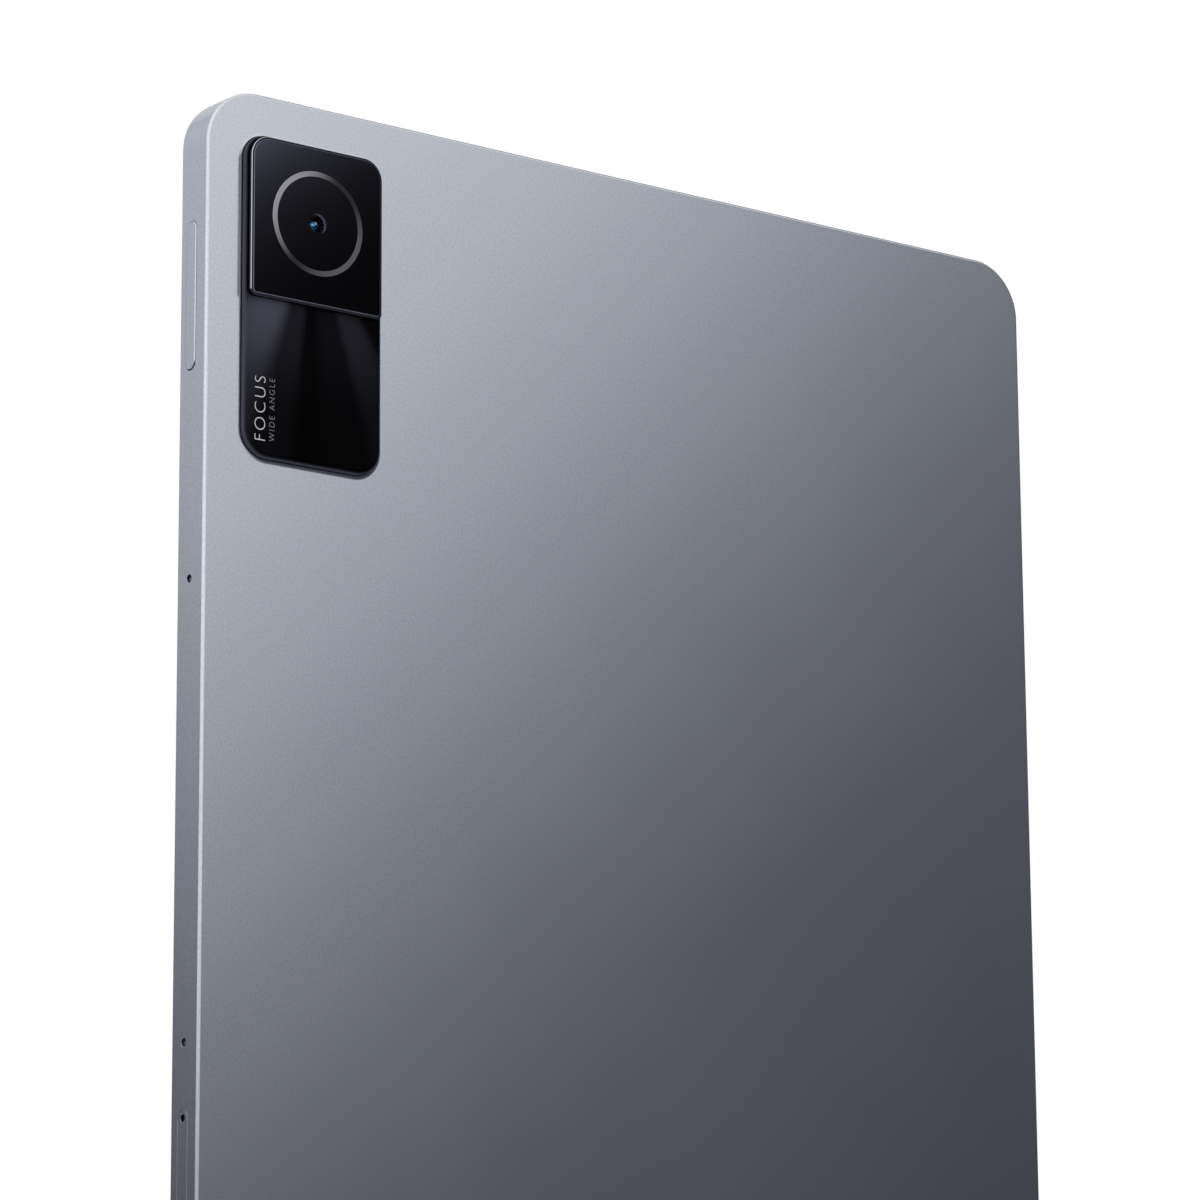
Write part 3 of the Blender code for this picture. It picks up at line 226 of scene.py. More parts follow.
# %% [markdown]
# ## Surfaces from rings of points
# Every visible piece of a tablet is an outline carried along a profile: a plate with a rounded
# edge, a key, a ring. So one helper is enough: it takes a grid of points, ring after ring, and
# skins it with quads. Primitives with a bevel modifier would do too, but a grid says exactly
# where each highlight starts and ends.

# %% Outlines
HOLD = 0.05 * MM  # a point this far past an arc keeps the straight edge beside it flat


def rounded(low, high, radii, steps=20):
    """Outline of a rounded rectangle: each corner is its arc's middle plus its radius times
    (cos a, sin a), a running over a quarter turn, with one point just past each end."""
    radii = np.broadcast_to(np.asarray(radii, float), 4)[:, None]
    side = np.array([[1, 1], [-1, 1], [-1, -1], [1, -1]])
    corner = np.where(side > 0, high, low)
    middle = corner - side * radii
    start = np.arange(4)[:, None] * math.pi / 2
    a = start + np.linspace(0, math.pi / 2, steps + 1)
    u = middle[:, :1] + radii * np.cos(a)
    v = middle[:, 1:] + radii * np.sin(a)
    before = (u[:, :1] + HOLD * np.sin(start), v[:, :1] - HOLD * np.cos(start))
    past = (u[:, -1:] - HOLD * np.cos(start), v[:, -1:] - HOLD * np.sin(start))
    u = np.concatenate([before[0], u, past[0]], axis=1)
    v = np.concatenate([before[1], v, past[1]], axis=1)
    return np.stack([u.ravel(), v.ravel()], axis=1)


def pill(centre, length, width, steps=20):
    """Outline of a round-ended slot: two half circles of the slot's width, whose middles lie
    half of (length - width) either side of the centre."""
    a = np.linspace(-math.pi / 2, math.pi / 2, steps + 1)
    u = (length - width) / 2 + width / 2 * np.cos(a)
    u = np.concatenate([[(length - width) / 2 - HOLD], u, [(length - width) / 2 - HOLD]])
    v = width / 2 * np.sin(np.concatenate([a[:1], a, a[-1:]]))
    return np.array(centre) + np.stack([np.concatenate([u, -u]), np.concatenate([v, -v])], axis=1)


def disc(centre, radius, sides=32):
    """Outline of a circle: the centre plus the radius times (cos a, sin a)."""
    a = np.arange(sides) * 2 * math.pi / sides
    return np.array(centre) + radius * np.stack([np.cos(a), np.sin(a)], axis=1)


def facing_back(outline, depth):
    """An outline in X and Z, at a depth below the back face."""
    return np.stack([outline[:, 0], np.full(len(outline), -depth), outline[:, 1]], axis=1)


def facing_side(outline, x):
    """An outline in Z and depth, at a place along X."""
    return np.stack([np.full(len(outline), x), -outline[:, 1], outline[:, 0]], axis=1)


def facing_top(outline, z):
    """An outline in X and depth, at a place along Z."""
    return np.stack([outline[:, 0], -outline[:, 1], np.full(len(outline), z)], axis=1)


def carried(outline, steps, facing=facing_back):
    """Carries an outline through steps: each says how far it grows or shrinks, and its place."""
    return [facing(outline(growth), place) for growth, place in steps]


def straight(outline, places, facing=facing_back):
    """Carries an outline straight from one place to another."""
    return [facing(outline, place) for place in places]


def pill_of(centre, length, width, gap=0.0):
    """The pill of these measures as an outline that can still grow."""
    return lambda grow: pill(centre, length + 2 * (gap + grow), width + 2 * (gap + grow))


print("outline of a rounded rectangle has", len(rounded((0, 0), (1, 1), 0.1)), "points")

# %% Skins, pieces and cuts
SMOOTH_BELOW = math.radians(32)


def skin(mesh, rings, looped=False):
    """Adds a grid of rings by points to a mesh: point k of a ring joins point k of the next.
    The first and last ring are closed by a face each, or joined to each other when looped."""
    rings = np.asarray(rings)
    count = rings.shape[1]
    rows = [[mesh.verts.new(point) for point in ring] for ring in rings.tolist()]
    pairs = list(zip(rows, rows[1:] + rows[:1] if looped else rows[1:]))
    made = [mesh.faces.new((a[k - 1], a[k], b[k], b[k - 1])) for a, b in pairs for k in range(count)]
    if not looped:
        made += [mesh.faces.new(rows[0]), mesh.faces.new(rows[-1])]
    bmesh.ops.recalc_face_normals(mesh, faces=made)
    return mesh


def shade(piece):
    piece.data.shade_smooth()
    piece.data.set_sharp_from_angle(angle=SMOOTH_BELOW)


def make_piece(name, *grids, looped=False):
    """One object at the origin from one or more grids of rings by points."""
    mesh = bmesh.new()
    for rings in grids:
        skin(mesh, rings, looped)
    data = bpy.data.meshes.new(name)
    mesh.to_mesh(data)
    mesh.free()
    piece = linked(name, data)
    shade(piece)
    return piece


def kept(piece, **values):
    """Runs the piece's newest modifier with these values and keeps the result as its mesh."""
    for name, value in values.items():
        setattr(piece.modifiers[-1], name, value)
    view = bpy.context.evaluated_depsgraph_get()
    result = bpy.data.meshes.new_from_object(piece.evaluated_get(view))
    piece.modifiers.clear()
    result.name = piece.name
    piece.data = result


def change(piece, operation, *grids, looped=False):
    """Joins grids to a piece (UNION) or cuts them from it (DIFFERENCE), and keeps the result."""
    tool = make_piece("tool", *grids, looped=looped)
    piece.modifiers.new(operation, "BOOLEAN")
    kept(piece, operation=operation, solver="EXACT", object=tool)
    bpy.data.objects.remove(tool)
    shade(piece)
    return piece


def finished(piece, finish, body, slot, *nodes):
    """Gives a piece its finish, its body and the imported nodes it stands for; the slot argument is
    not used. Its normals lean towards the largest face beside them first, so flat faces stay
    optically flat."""
    piece.modifiers.new("level", "WEIGHTED_NORMAL")
    kept(piece, keep_sharp=True, weight=100)
    piece.data.materials.clear()
    piece.data.materials.append(finish)
    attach(piece, body)
    if nodes:
        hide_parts(*nodes)
    print(f"{piece.name}: {len(piece.data.polygons)} faces")
    return piece


def soft_corner(leg, soft, steps=6):
    """Profile of a 45 degree chamfer with softened ends, as (inset, depth) pairs from the face
    to the side: two curved elbows, each (1-q)^2 P + 2q(1-q) Q + q^2 R along its own q."""
    q = np.linspace(0, 1, steps + 1)[:, None]
    slope = soft / math.sqrt(2)
    start, bend, end = np.array([leg + soft, 0.0]), np.array([leg, 0.0]), np.array([leg - slope, slope])
    elbow = (1 - q) ** 2 * start + 2 * q * (1 - q) * bend + q ** 2 * end
    return np.concatenate([elbow, elbow[::-1, ::-1]])


print("a softened chamfer has", len(soft_corner(0.5, 0.25)), "points")

# %% [markdown]
# ## Finishes
# Each finish is a Principled shader plus a few nodes that break it up: grain, brushing, film
# edges. All patterns are placed in the tablet's own metres, so a scale of 5000 makes grains a
# fifth of a millimetre wide. An image texture would need flattened surfaces and would run out of
# detail close up; a formula in space does neither and never shows a seam.

# %% Helpers for finishes
NOISE_SPAN, WIDE_SPAN = (0.3, 0.7), (0.2, 0.8)  # nearly all values of a noise lie between these


def new_finish(name, **values):
    """A material and its Principled shader, with plain values set on the shader's own sockets."""
    finish = bpy.data.materials.new(name)
    finish.use_nodes = True
    shader = finish.node_tree.nodes["Principled BSDF"]
    socket_value(shader, **values)
    return finish, finish.node_tree, shader


def object_place(tree):
    return tree.nodes.new("ShaderNodeTexCoord").outputs["Object"]


def stretched_place(tree, scale, place=None):
    """The place on the piece, stretched by a Mapping node so that a pattern runs along an axis."""
    mapping = tree.nodes.new("ShaderNodeMapping")
    tree.links.new(place or object_place(tree), mapping.inputs["Vector"])
    mapping.inputs["Scale"].default_value = scale
    return mapping.outputs["Vector"]


def noise(tree, place, scale, detail=2.0, roughness=0.5):
    node = socket_value(tree.nodes.new("ShaderNodeTexNoise"), Scale=scale, Detail=detail,
                        Roughness=roughness)
    tree.links.new(place, node.inputs["Vector"])
    return node.outputs["Fac"]


def scaled(colour, share):
    return [channel * share for channel in colour]


def painted(tree, shader, factor, first, second):
    """Paints the surface with a mixture of two colours."""
    tree.links.new(mixed(tree, factor, first, second), shader.inputs["Base Color"])


def gloss(tree, shader, value, low, high, span=NOISE_SPAN):
    """Lets a noise carry the roughness from low to high."""
    tree.links.new(smooth_step(tree, value, *span, low, high), shader.inputs["Roughness"])


def bumpy(tree, shader, value, strength, distance):
    """Lets a value raise and lower the surface by a real distance."""
    bump = socket_value(tree.nodes.new("ShaderNodeBump"), Strength=strength, Distance=distance)
    tree.links.new(value, bump.inputs["Height"])
    tree.links.new(bump.outputs["Normal"], shader.inputs["Normal"])


# %% [markdown]
# ### Sand-blasted, anodised aluminium
# The shell is milled from aluminium, blasted with fine sand and dyed grey. Close up it is a
# field of tiny dimples, so its mirror image of the studio is blurred, with a slight sparkle. One
# fine noise makes that sparkle as a few percent of the tone, and a broad one varies the blur.
# Dimples made as a real bump would be too fine to show and would only turn into blotches.

# %% Anodised finish
SATIN = 0.206  # roughness of the blasted surface
GRAIN = 2600.0


def anodised(name, tone, roughness):
    finish, tree, shader = new_finish(name, Metallic=1.0, IOR=1.5)
    place = object_place(tree)
    grain = noise(tree, place, GRAIN, 2.0, 0.6)
    cloud = noise(tree, place, 24.0)
    painted(tree, shader, smooth_step(tree, grain, *NOISE_SPAN), scaled(tone, 0.95), scaled(tone, 1.05))
    gloss(tree, shader, cloud, roughness * 0.97, roughness * 1.03, WIDE_SPAN)
    return finish


GREY_DYE = (0.612, 0.634, 0.686)
ALUMINIUM = anodised("sand_blasted_aluminium", GREY_DYE, SATIN)
KEY_ALUMINIUM = anodised("key_aluminium", GREY_DYE, SATIN)
print("grain is about", round(1000 / GRAIN, 2), "mm wide")

# %% [markdown]
# ### Dark glass and dark plastics
# The screen's panel and the small inner lens are dark glass, and a broad, faint haze varies their
# tone and gloss. The plastics come from a mould with a spark-eroded wall, which leaves a fine
# texture; one noise makes it in tone, gloss and relief together.

# %% Black finishes


def black_glass(name, tone, roughness, **values):
    finish, tree, shader = new_finish(name, **values)
    place = object_place(tree)
    haze = noise(tree, place, 45.0)
    painted(tree, shader, haze, scaled(tone, 0.8), scaled(tone, 1.2))
    gloss(tree, shader, haze, roughness, roughness * 1.5)
    return finish


def moulded(name, tone, roughness, grain=2600.0, **values):
    """Moulded plastic: a fine spark-eroded texture in tone, gloss and relief."""
    finish, tree, shader = new_finish(name, **values)
    value = noise(tree, object_place(tree), grain, 3.0)
    painted(tree, shader, value, scaled(tone, 0.8), scaled(tone, 1.2))
    gloss(tree, shader, value, roughness * 0.9, roughness * 1.1)
    bumpy(tree, shader, value, 0.15, 0.02 * MM)
    return finish


BLACK_PLASTIC = moulded("black_plastic", (0.012, 0.012, 0.013), 0.45)
print("black finishes made")

# %% [markdown]
# ## The metal shell
# The back and sides are one piece of aluminium, so they are one closed surface here as well. Its
# outline is carried through rings: across the back, over the softened chamfer that draws the thin
# bright line, down the flat side, over the rim, and back up inside. The swell round the camera
# island is joined on, and then every opening is cut; those in the sides get a tiny chamfer.

# %% Shell rings
BODY_CORNER = 8.7 * MM
EDGE_LEG, EDGE_SOFT = 0.28 * MM, 0.12 * MM
RIM_EDGE = 0.12 * MM
RIM_LIP = 1.0 * MM
SIDE_WALL = 2.6 * MM
BACK_WALL = 0.8 * MM
LEDGE_DEPTH = -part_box("display_adhesive")[1].y - 0.1 * MM


def body_outline(inset):
    half = np.array([WIDTH / 2, HEIGHT / 2]) - inset
    return rounded(-half, half, max(BODY_CORNER - inset, 0.5 * MM), steps=32)


edge = soft_corner(EDGE_LEG, EDGE_SOFT)
profile = [
    (edge[0, 0] + HOLD, 0.0), *edge.tolist(), (0.0, edge[-1, 1] + HOLD),
    (0.0, RIM_DEPTH - RIM_EDGE - HOLD), (0.0, RIM_DEPTH - RIM_EDGE), (RIM_EDGE, RIM_DEPTH),
    (RIM_LIP, RIM_DEPTH), (RIM_LIP, LEDGE_DEPTH), (SIDE_WALL, LEDGE_DEPTH), (SIDE_WALL, BACK_WALL),
]
shell = make_piece("rear_cover_shell", carried(body_outline, profile))
print("shell rings:", len(profile))

# %% [markdown]
# The camera island stands in an opening of the shell, and the metal swells up softly towards it, so
# that the island's edge is guarded. The swell leaves the back level and steepens all the way to the
# gap; it is highest on the far and lower sides, and lowest on the key side and at the top. It is
# carried round the island's outline, and its inner side is a little too wide on purpose: the cutter
# that opens the back trims it to a crisp inner edge.

# %% Island lip and opening
plate_low, plate_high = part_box("camera_lower_panel")
window_low, window_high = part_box("camera_bezel")
WINDOW_MARGIN = plate_high.x - window_high.x
ISLAND_LOW = np.array([plate_low.x, plate_low.z])
ISLAND_HIGH = np.array([plate_high.x, window_high.z + WINDOW_MARGIN])
ISLAND_CORNERS = np.array([3.6, 3.6, 4.2, 4.2]) * MM
LIP_GAP, LIP_WIDTH, LIP_PROUD = 0.16 * MM, 0.7 * MM, 0.08 * MM
LIP_FOOT, LIP_LOW_SHARE = 0.3 * MM, 0.25
REACH = 1.0 * MM  # how far a cutter passes the wall that it cuts


def island_outline(grow):
    return rounded(ISLAND_LOW - grow, ISLAND_HIGH + grow, np.maximum(ISLAND_CORNERS + grow, 0.2 * MM))


def swell_grid():
    """The swell's rings. Its height is proud * q^2, q running from 0 at the foot to 1 at the gap,
    times a share: full on the far and lower sides, low on the key side and the top."""
    q = np.linspace(0, 1, 15)
    section = [(LIP_GAP + LIP_WIDTH + HOLD, -LIP_FOOT)]
    section += zip(LIP_GAP + LIP_WIDTH * (1 - q), LIP_PROUD * q ** 2)
    section += [(LIP_GAP - HOLD, LIP_PROUD), (LIP_GAP - HOLD, -LIP_FOOT)]
    rings = np.array([facing_back(island_outline(grow), -height) for grow, height in section])
    half = (ISLAND_HIGH - ISLAND_LOW) / 2
    towards = -((rings[..., [0, 2]] - ISLAND_LOW - half) / half).sum(-1)
    t = np.clip((towards + 0.6) / 1.4, 0, 1)
    share = LIP_LOW_SHARE + (1 - LIP_LOW_SHARE) * t * t * (3 - 2 * t)
    rings[..., 1] = np.where(rings[..., 1] >= 0, rings[..., 1] * share - HOLD / 10, rings[..., 1])
    return rings


change(shell, "UNION", swell_grid(), looped=True)
change(shell, "DIFFERENCE", straight(island_outline(LIP_GAP), (-REACH, BACK_WALL + REACH / 2)))
print("island", np.round((ISLAND_HIGH - ISLAND_LOW) / MM, 2), "mm")

# %% [markdown]
# Every other opening is the same kind of cut: an outline carried straight in, which widens at 45
# degrees just before the surface. That leaves a chamfer of a few hundredths at the mouth, and a
# machined hole without one would look like a sticker. Screw bosses are joined on inside first.

# %% Openings in the sides
MOUTH = 0.02 * MM
KEY_GAP, TRAY_GAP = 0.07 * MM, 0.05 * MM
KEY_LAP = 0.6 * MM  # a key's flange is this much wider than its cap
MICROPHONE_HOLE, GRILLE_HOLE, GRILLE_COUNT = 0.6 * MM, 0.6 * MM, 8
BOSS_RADIUS, BOSS_HOLE, BOSS_FLOOR, BOSS_TOP = 1.7 * MM, 0.8 * MM, 0.5 * MM, 1.4 * MM


def middle(node):
    low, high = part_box(node)
    return (low + high) / 2


def mouth_cut(outline, facing, face):
    """A cutter through a wall whose outer face is at this place: straight, then flared 45 degrees."""
    outwards = math.copysign(1.0, face)
    steps = ((0.0, face - outwards * (SIDE_WALL + REACH)), (0.0, face - outwards * MOUTH),
             (MOUTH + REACH, face + outwards * REACH))
    return carried(outline, steps, facing)


def key_measures(node, along):
    """Centre, length and width of a key's cap, along Z for a side key and X for a top key."""
    low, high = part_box(node)
    centre = ((low[along] + high[along]) / 2, -(low.y + high.y) / 2)
    return centre, high[along] - low[along] - 2 * KEY_LAP, high.y - low.y - 2 * KEY_LAP


screw_nodes = [name for name in frame["nodes"] if "_screw" in name]
bosses, cuts = [], []
for name in screw_nodes:
    place = (middle(name).x, middle(name).z)
    bosses.append(straight(disc(place, BOSS_RADIUS), (BOSS_FLOOR, BOSS_TOP)))
    cuts.append(straight(disc(place, BOSS_HOLE, 20), (BOSS_FLOOR, BOSS_TOP + REACH)))
change(shell, "UNION", *bosses)

volume_centre, volume_length, key_width = key_measures("volume_key", 2)
power_centre, power_length, _ = key_measures("power_key", 0)
tray_low, tray_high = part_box("card_tray")
TRAY_CENTRE = ((tray_low.z + tray_high.z) / 2, -(tray_low.y + tray_high.y) / 2)
TRAY_LENGTH, TRAY_WIDTH = tray_high.z - tray_low.z, tray_high.y - tray_low.y
usb_low, usb_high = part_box("usb_shell")
USB_CENTRE = (0.0, -(usb_low.y + usb_high.y) / 2)
USB_SIZE = (usb_high.x - usb_low.x, usb_high.y - usb_low.y)
SIDE, TOP = WIDTH / 2, HEIGHT / 2
for centre, length, width, gap, facing, face in (
        (volume_centre, volume_length, key_width, KEY_GAP, facing_side, SIDE),
        (power_centre, power_length, key_width, KEY_GAP, facing_top, TOP),
        (TRAY_CENTRE, TRAY_LENGTH, TRAY_WIDTH, TRAY_GAP, facing_side, SIDE),
        (USB_CENTRE, *USB_SIZE, HOLD, facing_top, -TOP)):
    cuts.append(mouth_cut(pill_of(centre, length, width, gap), facing, face))
for name in ("microphone_1", "microphone_2"):
    place = middle(name)
    cuts.append(mouth_cut(lambda grow: disc((place.z, -place.y), MICROPHONE_HOLE + grow), facing_side, SIDE))
for name in ("speaker_top_1", "speaker_top_2", "speaker_bottom_1", "speaker_bottom_2"):
    low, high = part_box(name + "_mesh")
    pitch = (high.x - low.x) / GRILLE_COUNT
    for k in range(GRILLE_COUNT):
        x = low.x + pitch * (k + 0.5)
        cuts.append(mouth_cut(lambda grow: disc((x, -(low.y + high.y) / 2), GRILLE_HOLE + grow, 24),
                              facing_top, math.copysign(TOP, low.z)))
change(shell, "DIFFERENCE", *cuts)
finished(shell, ALUMINIUM, "chassis", "anodised", "rear_cover")
print("openings cut:", len(cuts))

# %% [markdown]
# ## The keys and the card tray
# A key is a cap with a flange behind the wall, so that it can't fall out. The cap stands a little
# proud, and its softened edge shows as one thin bright line beside one thin dark
# gap. Both keys come from one function, turned to their own side.

# %% Keys
KEY_FLANGE = 0.5 * MM
KEY_PROUD = 0.14 * MM
KEY_LEG, KEY_SOFT = 0.08 * MM, 0.05 * MM


def key_piece(name, centre, length, width, facing, inner, face):
    """A cap and its flange: pills carried outwards, drawn in along the softened edge."""
    drop = soft_corner(KEY_LEG, KEY_SOFT)[::-1]
    steps = [(KEY_LAP, inner), (KEY_LAP, inner + KEY_FLANGE), (0.0, inner + KEY_FLANGE),
             (0.0, face - drop[0, 1] - HOLD)]
    steps += [(-inset, face - depth) for inset, depth in drop.tolist()]
    steps += [(-drop[-1, 0] - HOLD, face)]
    return make_piece(name, carried(pill_of(centre, length, width), steps, facing))


volume_cap = key_piece("volume_key_cap", volume_centre, volume_length, key_width, facing_side,
                       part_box("volume_key")[0].x, SIDE + KEY_PROUD)
finished(volume_cap, KEY_ALUMINIUM, "volume_key", "keys", "volume_key")
power_cap = key_piece("power_key_cap", power_centre, power_length, key_width, facing_top,
                      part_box("power_key")[0].z, TOP + KEY_PROUD)
finished(power_cap, KEY_ALUMINIUM, "power_key", "keys", "power_key")

# %% [markdown]
# The card tray is a metal plate, flush with the side, with a thin frame behind it that carries the
# card. The frame is joined to the plate; then the card's window and the hole for the eject pin
# are cut. One corner of the window is clipped, which keeps the card from going in backwards.

# %% Card tray
TRAY_PLATE = 1.2 * MM
TRAY_LEG, TRAY_SOFT, TRAY_CORNER = 0.015 * MM, 0.01 * MM, 0.8 * MM
TRAY_MARGIN, TRAY_BLADE = 0.9 * MM, 12.4 * MM
TRAY_RAIL, TRAY_CLIP = 0.7 * MM, 2.2 * MM
PIN_HOLE = 0.55 * MM
socket_low, socket_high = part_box("card_socket")
SOCKET_WALL = 0.6 * MM  # the socket's sheet and the play beside the tray

drop = soft_corner(TRAY_LEG, TRAY_SOFT)[::-1]
steps = [(0.0, SIDE - TRAY_PLATE), (0.0, SIDE - drop[0, 1] - HOLD)]
steps += [(-inset, SIDE - depth) for inset, depth in drop.tolist()] + [(-drop[-1, 0] - HOLD, SIDE)]
tray = make_piece("card_tray_metal",
                  carried(pill_of(TRAY_CENTRE, TRAY_LENGTH, TRAY_WIDTH), steps, facing_side))
blade_low = np.array([tray_low.x, tray_low.z + TRAY_MARGIN])
blade_high = np.array([SIDE - TRAY_PLATE / 2, tray_low.z + TRAY_MARGIN + TRAY_BLADE])
blade_depths = (-socket_high.y + SOCKET_WALL, -socket_low.y - SOCKET_WALL)
change(tray, "UNION", straight(rounded(blade_low, blade_high, TRAY_CORNER, 6), blade_depths))
u0, v0 = blade_low + TRAY_RAIL
u1, v1 = SIDE - TRAY_PLATE - TRAY_RAIL, blade_high[1] - TRAY_RAIL
window = np.array([(u0 + TRAY_CLIP, v0), (u1, v0), (u1, v1), (u0, v1), (u0, v0 + TRAY_CLIP)])
pin_place = (tray_high.z - TRAY_WIDTH / 2, TRAY_CENTRE[1])
pin_steps = ((0.0, SIDE - TRAY_PLATE - REACH), (0.0, SIDE - MOUTH), (MOUTH + REACH, SIDE + REACH))
change(tray, "DIFFERENCE", straight(window, (blade_depths[0] - REACH, blade_depths[1] + REACH)),
       carried(lambda grow: disc(pin_place, PIN_HOLE + grow), pin_steps, facing_side))
finished(tray, KEY_ALUMINIUM, "card_tray", "keys", "card_tray")

# %% [markdown]
# ## The camera island
# From the bottom up: a black frame held inside the back, a base plate that fills the island, a
# window frame that stands on its upper half, the black camera glass in it, a spun metal ring let
# into the glass, and the small lens in the middle. Each is an outline with its own edge profile.

# %% Frame and base plate
FRAME_LAP, FRAME_TOP = 0.9 * MM, 0.05 * MM
PLATE_PROUD = plate_high.y
PLATE_CURVE, PLATE_DROP = 0.62 * MM, 0.26 * MM
ring_low, ring_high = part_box("camera_ring")
LENS_PLACE = np.array([(ring_low.x + ring_high.x) / 2, (ring_low.z + ring_high.z) / 2])
BARREL_HOLE = 3.5 * MM
quarter = np.linspace(0, math.pi / 2, 9)


def round_lens(sides):
    """A circle round the lens, as an outline that takes its radius."""
    return lambda radius: disc(LENS_PLACE, radius, sides)


def curved_edge(width, fall):
    """A quarter of an ellipse from the side to the face, as (inset, fall below the face) pairs."""
    return [(width * (1 - math.cos(a)), fall * (1 - math.sin(a))) for a in quarter]


frame_floor = -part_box("camera_frame")[0].y
island_frame = make_piece("camera_island_frame", carried(island_outline, (
    (FRAME_LAP + LIP_GAP, frame_floor), (FRAME_LAP + LIP_GAP, BACK_WALL + 2 * HOLD),
    (LIP_GAP - HOLD, BACK_WALL + 2 * HOLD), (LIP_GAP - HOLD, -FRAME_TOP))))
barrel_way = straight(disc(LENS_PLACE, BARREL_HOLE, 64), (-window_high.y - REACH, frame_floor + REACH))
change(island_frame, "DIFFERENCE", barrel_way)
finished(island_frame, BLACK_PLASTIC, "chassis", "black_plastic", "camera_frame")

steps = [(0.0, -FRAME_TOP - HOLD), (0.0, -PLATE_PROUD + PLATE_DROP + HOLD)]
steps += [(inset, fall - PLATE_PROUD) for inset, fall in curved_edge(PLATE_CURVE, PLATE_DROP)]
steps += [(PLATE_CURVE + HOLD, -PLATE_PROUD)]
base_plate = make_piece("camera_base_plate", carried(lambda inset: island_outline(-inset), steps))
change(base_plate, "DIFFERENCE", barrel_way)

# %% [markdown]
# The base plate is spun round the lens and lies under a clear glossy coat. Spinning leaves
# grooves in circles, and such a face never shines evenly: it shines in a few rays that fan out
# from the centre. Its coat, like the camera glass, is treated against reflections, so it mirrors
# only a trace; a painted highlight on the curved edge of each draws a thin paler line in its
# place. The rays are painted highlights too, set by the angle round the lens, each a soft bump, so
# they stay in place when the finish is baked, but they don't wander with the light as true ones
# would. Hair-fine circles run across them.

# %% Spun finish of the base plate


def distance(tree, across, down):
    """The root of across^2 + down^2."""
    squares = [math_node(tree, "POWER", way, 2.0) for way in (across, down)]
    return math_node(tree, "SQRT", math_node(tree, "ADD", *squares))


def polar(tree, centre):
    """Angle and radius round a centre in X and Z. The angle is 0 straight down, towards -X positive."""
    axes = split(tree, object_place(tree))
    across = math_node(tree, "SUBTRACT", centre[0], axes["X"])
    down = math_node(tree, "SUBTRACT", centre[1], axes["Z"])
    return math_node(tree, "ARCTAN2", across, down), distance(tree, across, down)


def ray(tree, angle, at, half_width, height):
    """A soft bump over an angle: it falls smoothly from its height to 0 at half_width degrees away.
    The cosine of the difference is compared, so a bump may cross straight up."""
    near = math_node(tree, "COSINE", math_node(tree, "SUBTRACT", angle, math.radians(at)))
    return smooth_step(tree, near, math.cos(math.radians(half_width)), 1.0, 0.0, height)


def rays(tree, angle, base, bumps):
    """A base brightness plus one soft bump of painted highlight for each ray."""
    light = base
    for at, half_width, height in bumps:
        light = math_node(tree, "ADD", ray(tree, angle, at, half_width, height), light)
    return light


def tinted(tree, light, tint):
    """A grey value times the channels of a tint, as a colour."""
    colour = tree.nodes.new("ShaderNodeCombineColor")
    for channel, share in zip(colour.inputs, tint):
        tree.links.new(product(tree, light, share), channel)
    return colour.outputs[0]


def paint_black_and_edge_highlight(tree, shader, light, face, fall, edge_highlight):
    """Tints a grey value slightly blue, and paints a highlight on the edge that falls away below a face."""
    height = split(tree, object_place(tree))["Y"]
    edge = smooth_step(tree, height, face - fall, face - FACE_HAIR, 1.0, 0.0)
    painted(tree, shader, edge, tinted(tree, light, BLUE_BLACK), scaled(BLUE_BLACK, edge_highlight))


BLUE_BLACK = (0.98, 0.98, 1.36)
FACE_HAIR = 0.004 * MM  # the painted edge highlight starts this far below its face, so the face stays dark
COATED_MIRROR = 0.012  # an anti-reflective coat leaves a trace of plain glass's mirror
# Each ray, a painted highlight: the angle of its middle and half its width, in degrees, and its brightness.
RAYS = ((-30.5, 15.5, 0.066), (-12.0, 8.0, 0.010), (12.0, 13.0, 0.003), (25.0, 10.0, 0.014))
RAY_FADE = (14 * MM, 31 * MM, 1.15, 0.3)  # from and to these distances, from and to these shares
PLATE_BLACK, PLATE_CIRCLES = 0.0015, 9000.0
# the painted highlight along the plate's curved edge: the height below the face that it covers, and its
# brightness
PLATE_EDGE_FALL, PLATE_EDGE_HIGHLIGHT = 0.3 * MM, 0.09

finish, tree, shader = new_finish("spun_black_plate", IOR=1.5, Specular_IOR_Level=COATED_MIRROR)
angle, radius = polar(tree, LENS_PLACE)
light = rays(tree, angle, PLATE_BLACK, RAYS)
light = product(tree, light, smooth_step(tree, radius, *RAY_FADE))
circles = noise(tree, stretched_place(tree, (PLATE_CIRCLES, 0.0, 0.0), radius), 1.0, 3.0)
light = product(tree, light, smooth_step(tree, circles, *WIDE_SPAN, 0.8, 1.2))
paint_black_and_edge_highlight(tree, shader, light, PLATE_PROUD, PLATE_EDGE_FALL, PLATE_EDGE_HIGHLIGHT)
gloss(tree, shader, circles, 0.05, 0.07)
finished(base_plate, finish, "chassis", "gloss_black", "camera_lower_panel")
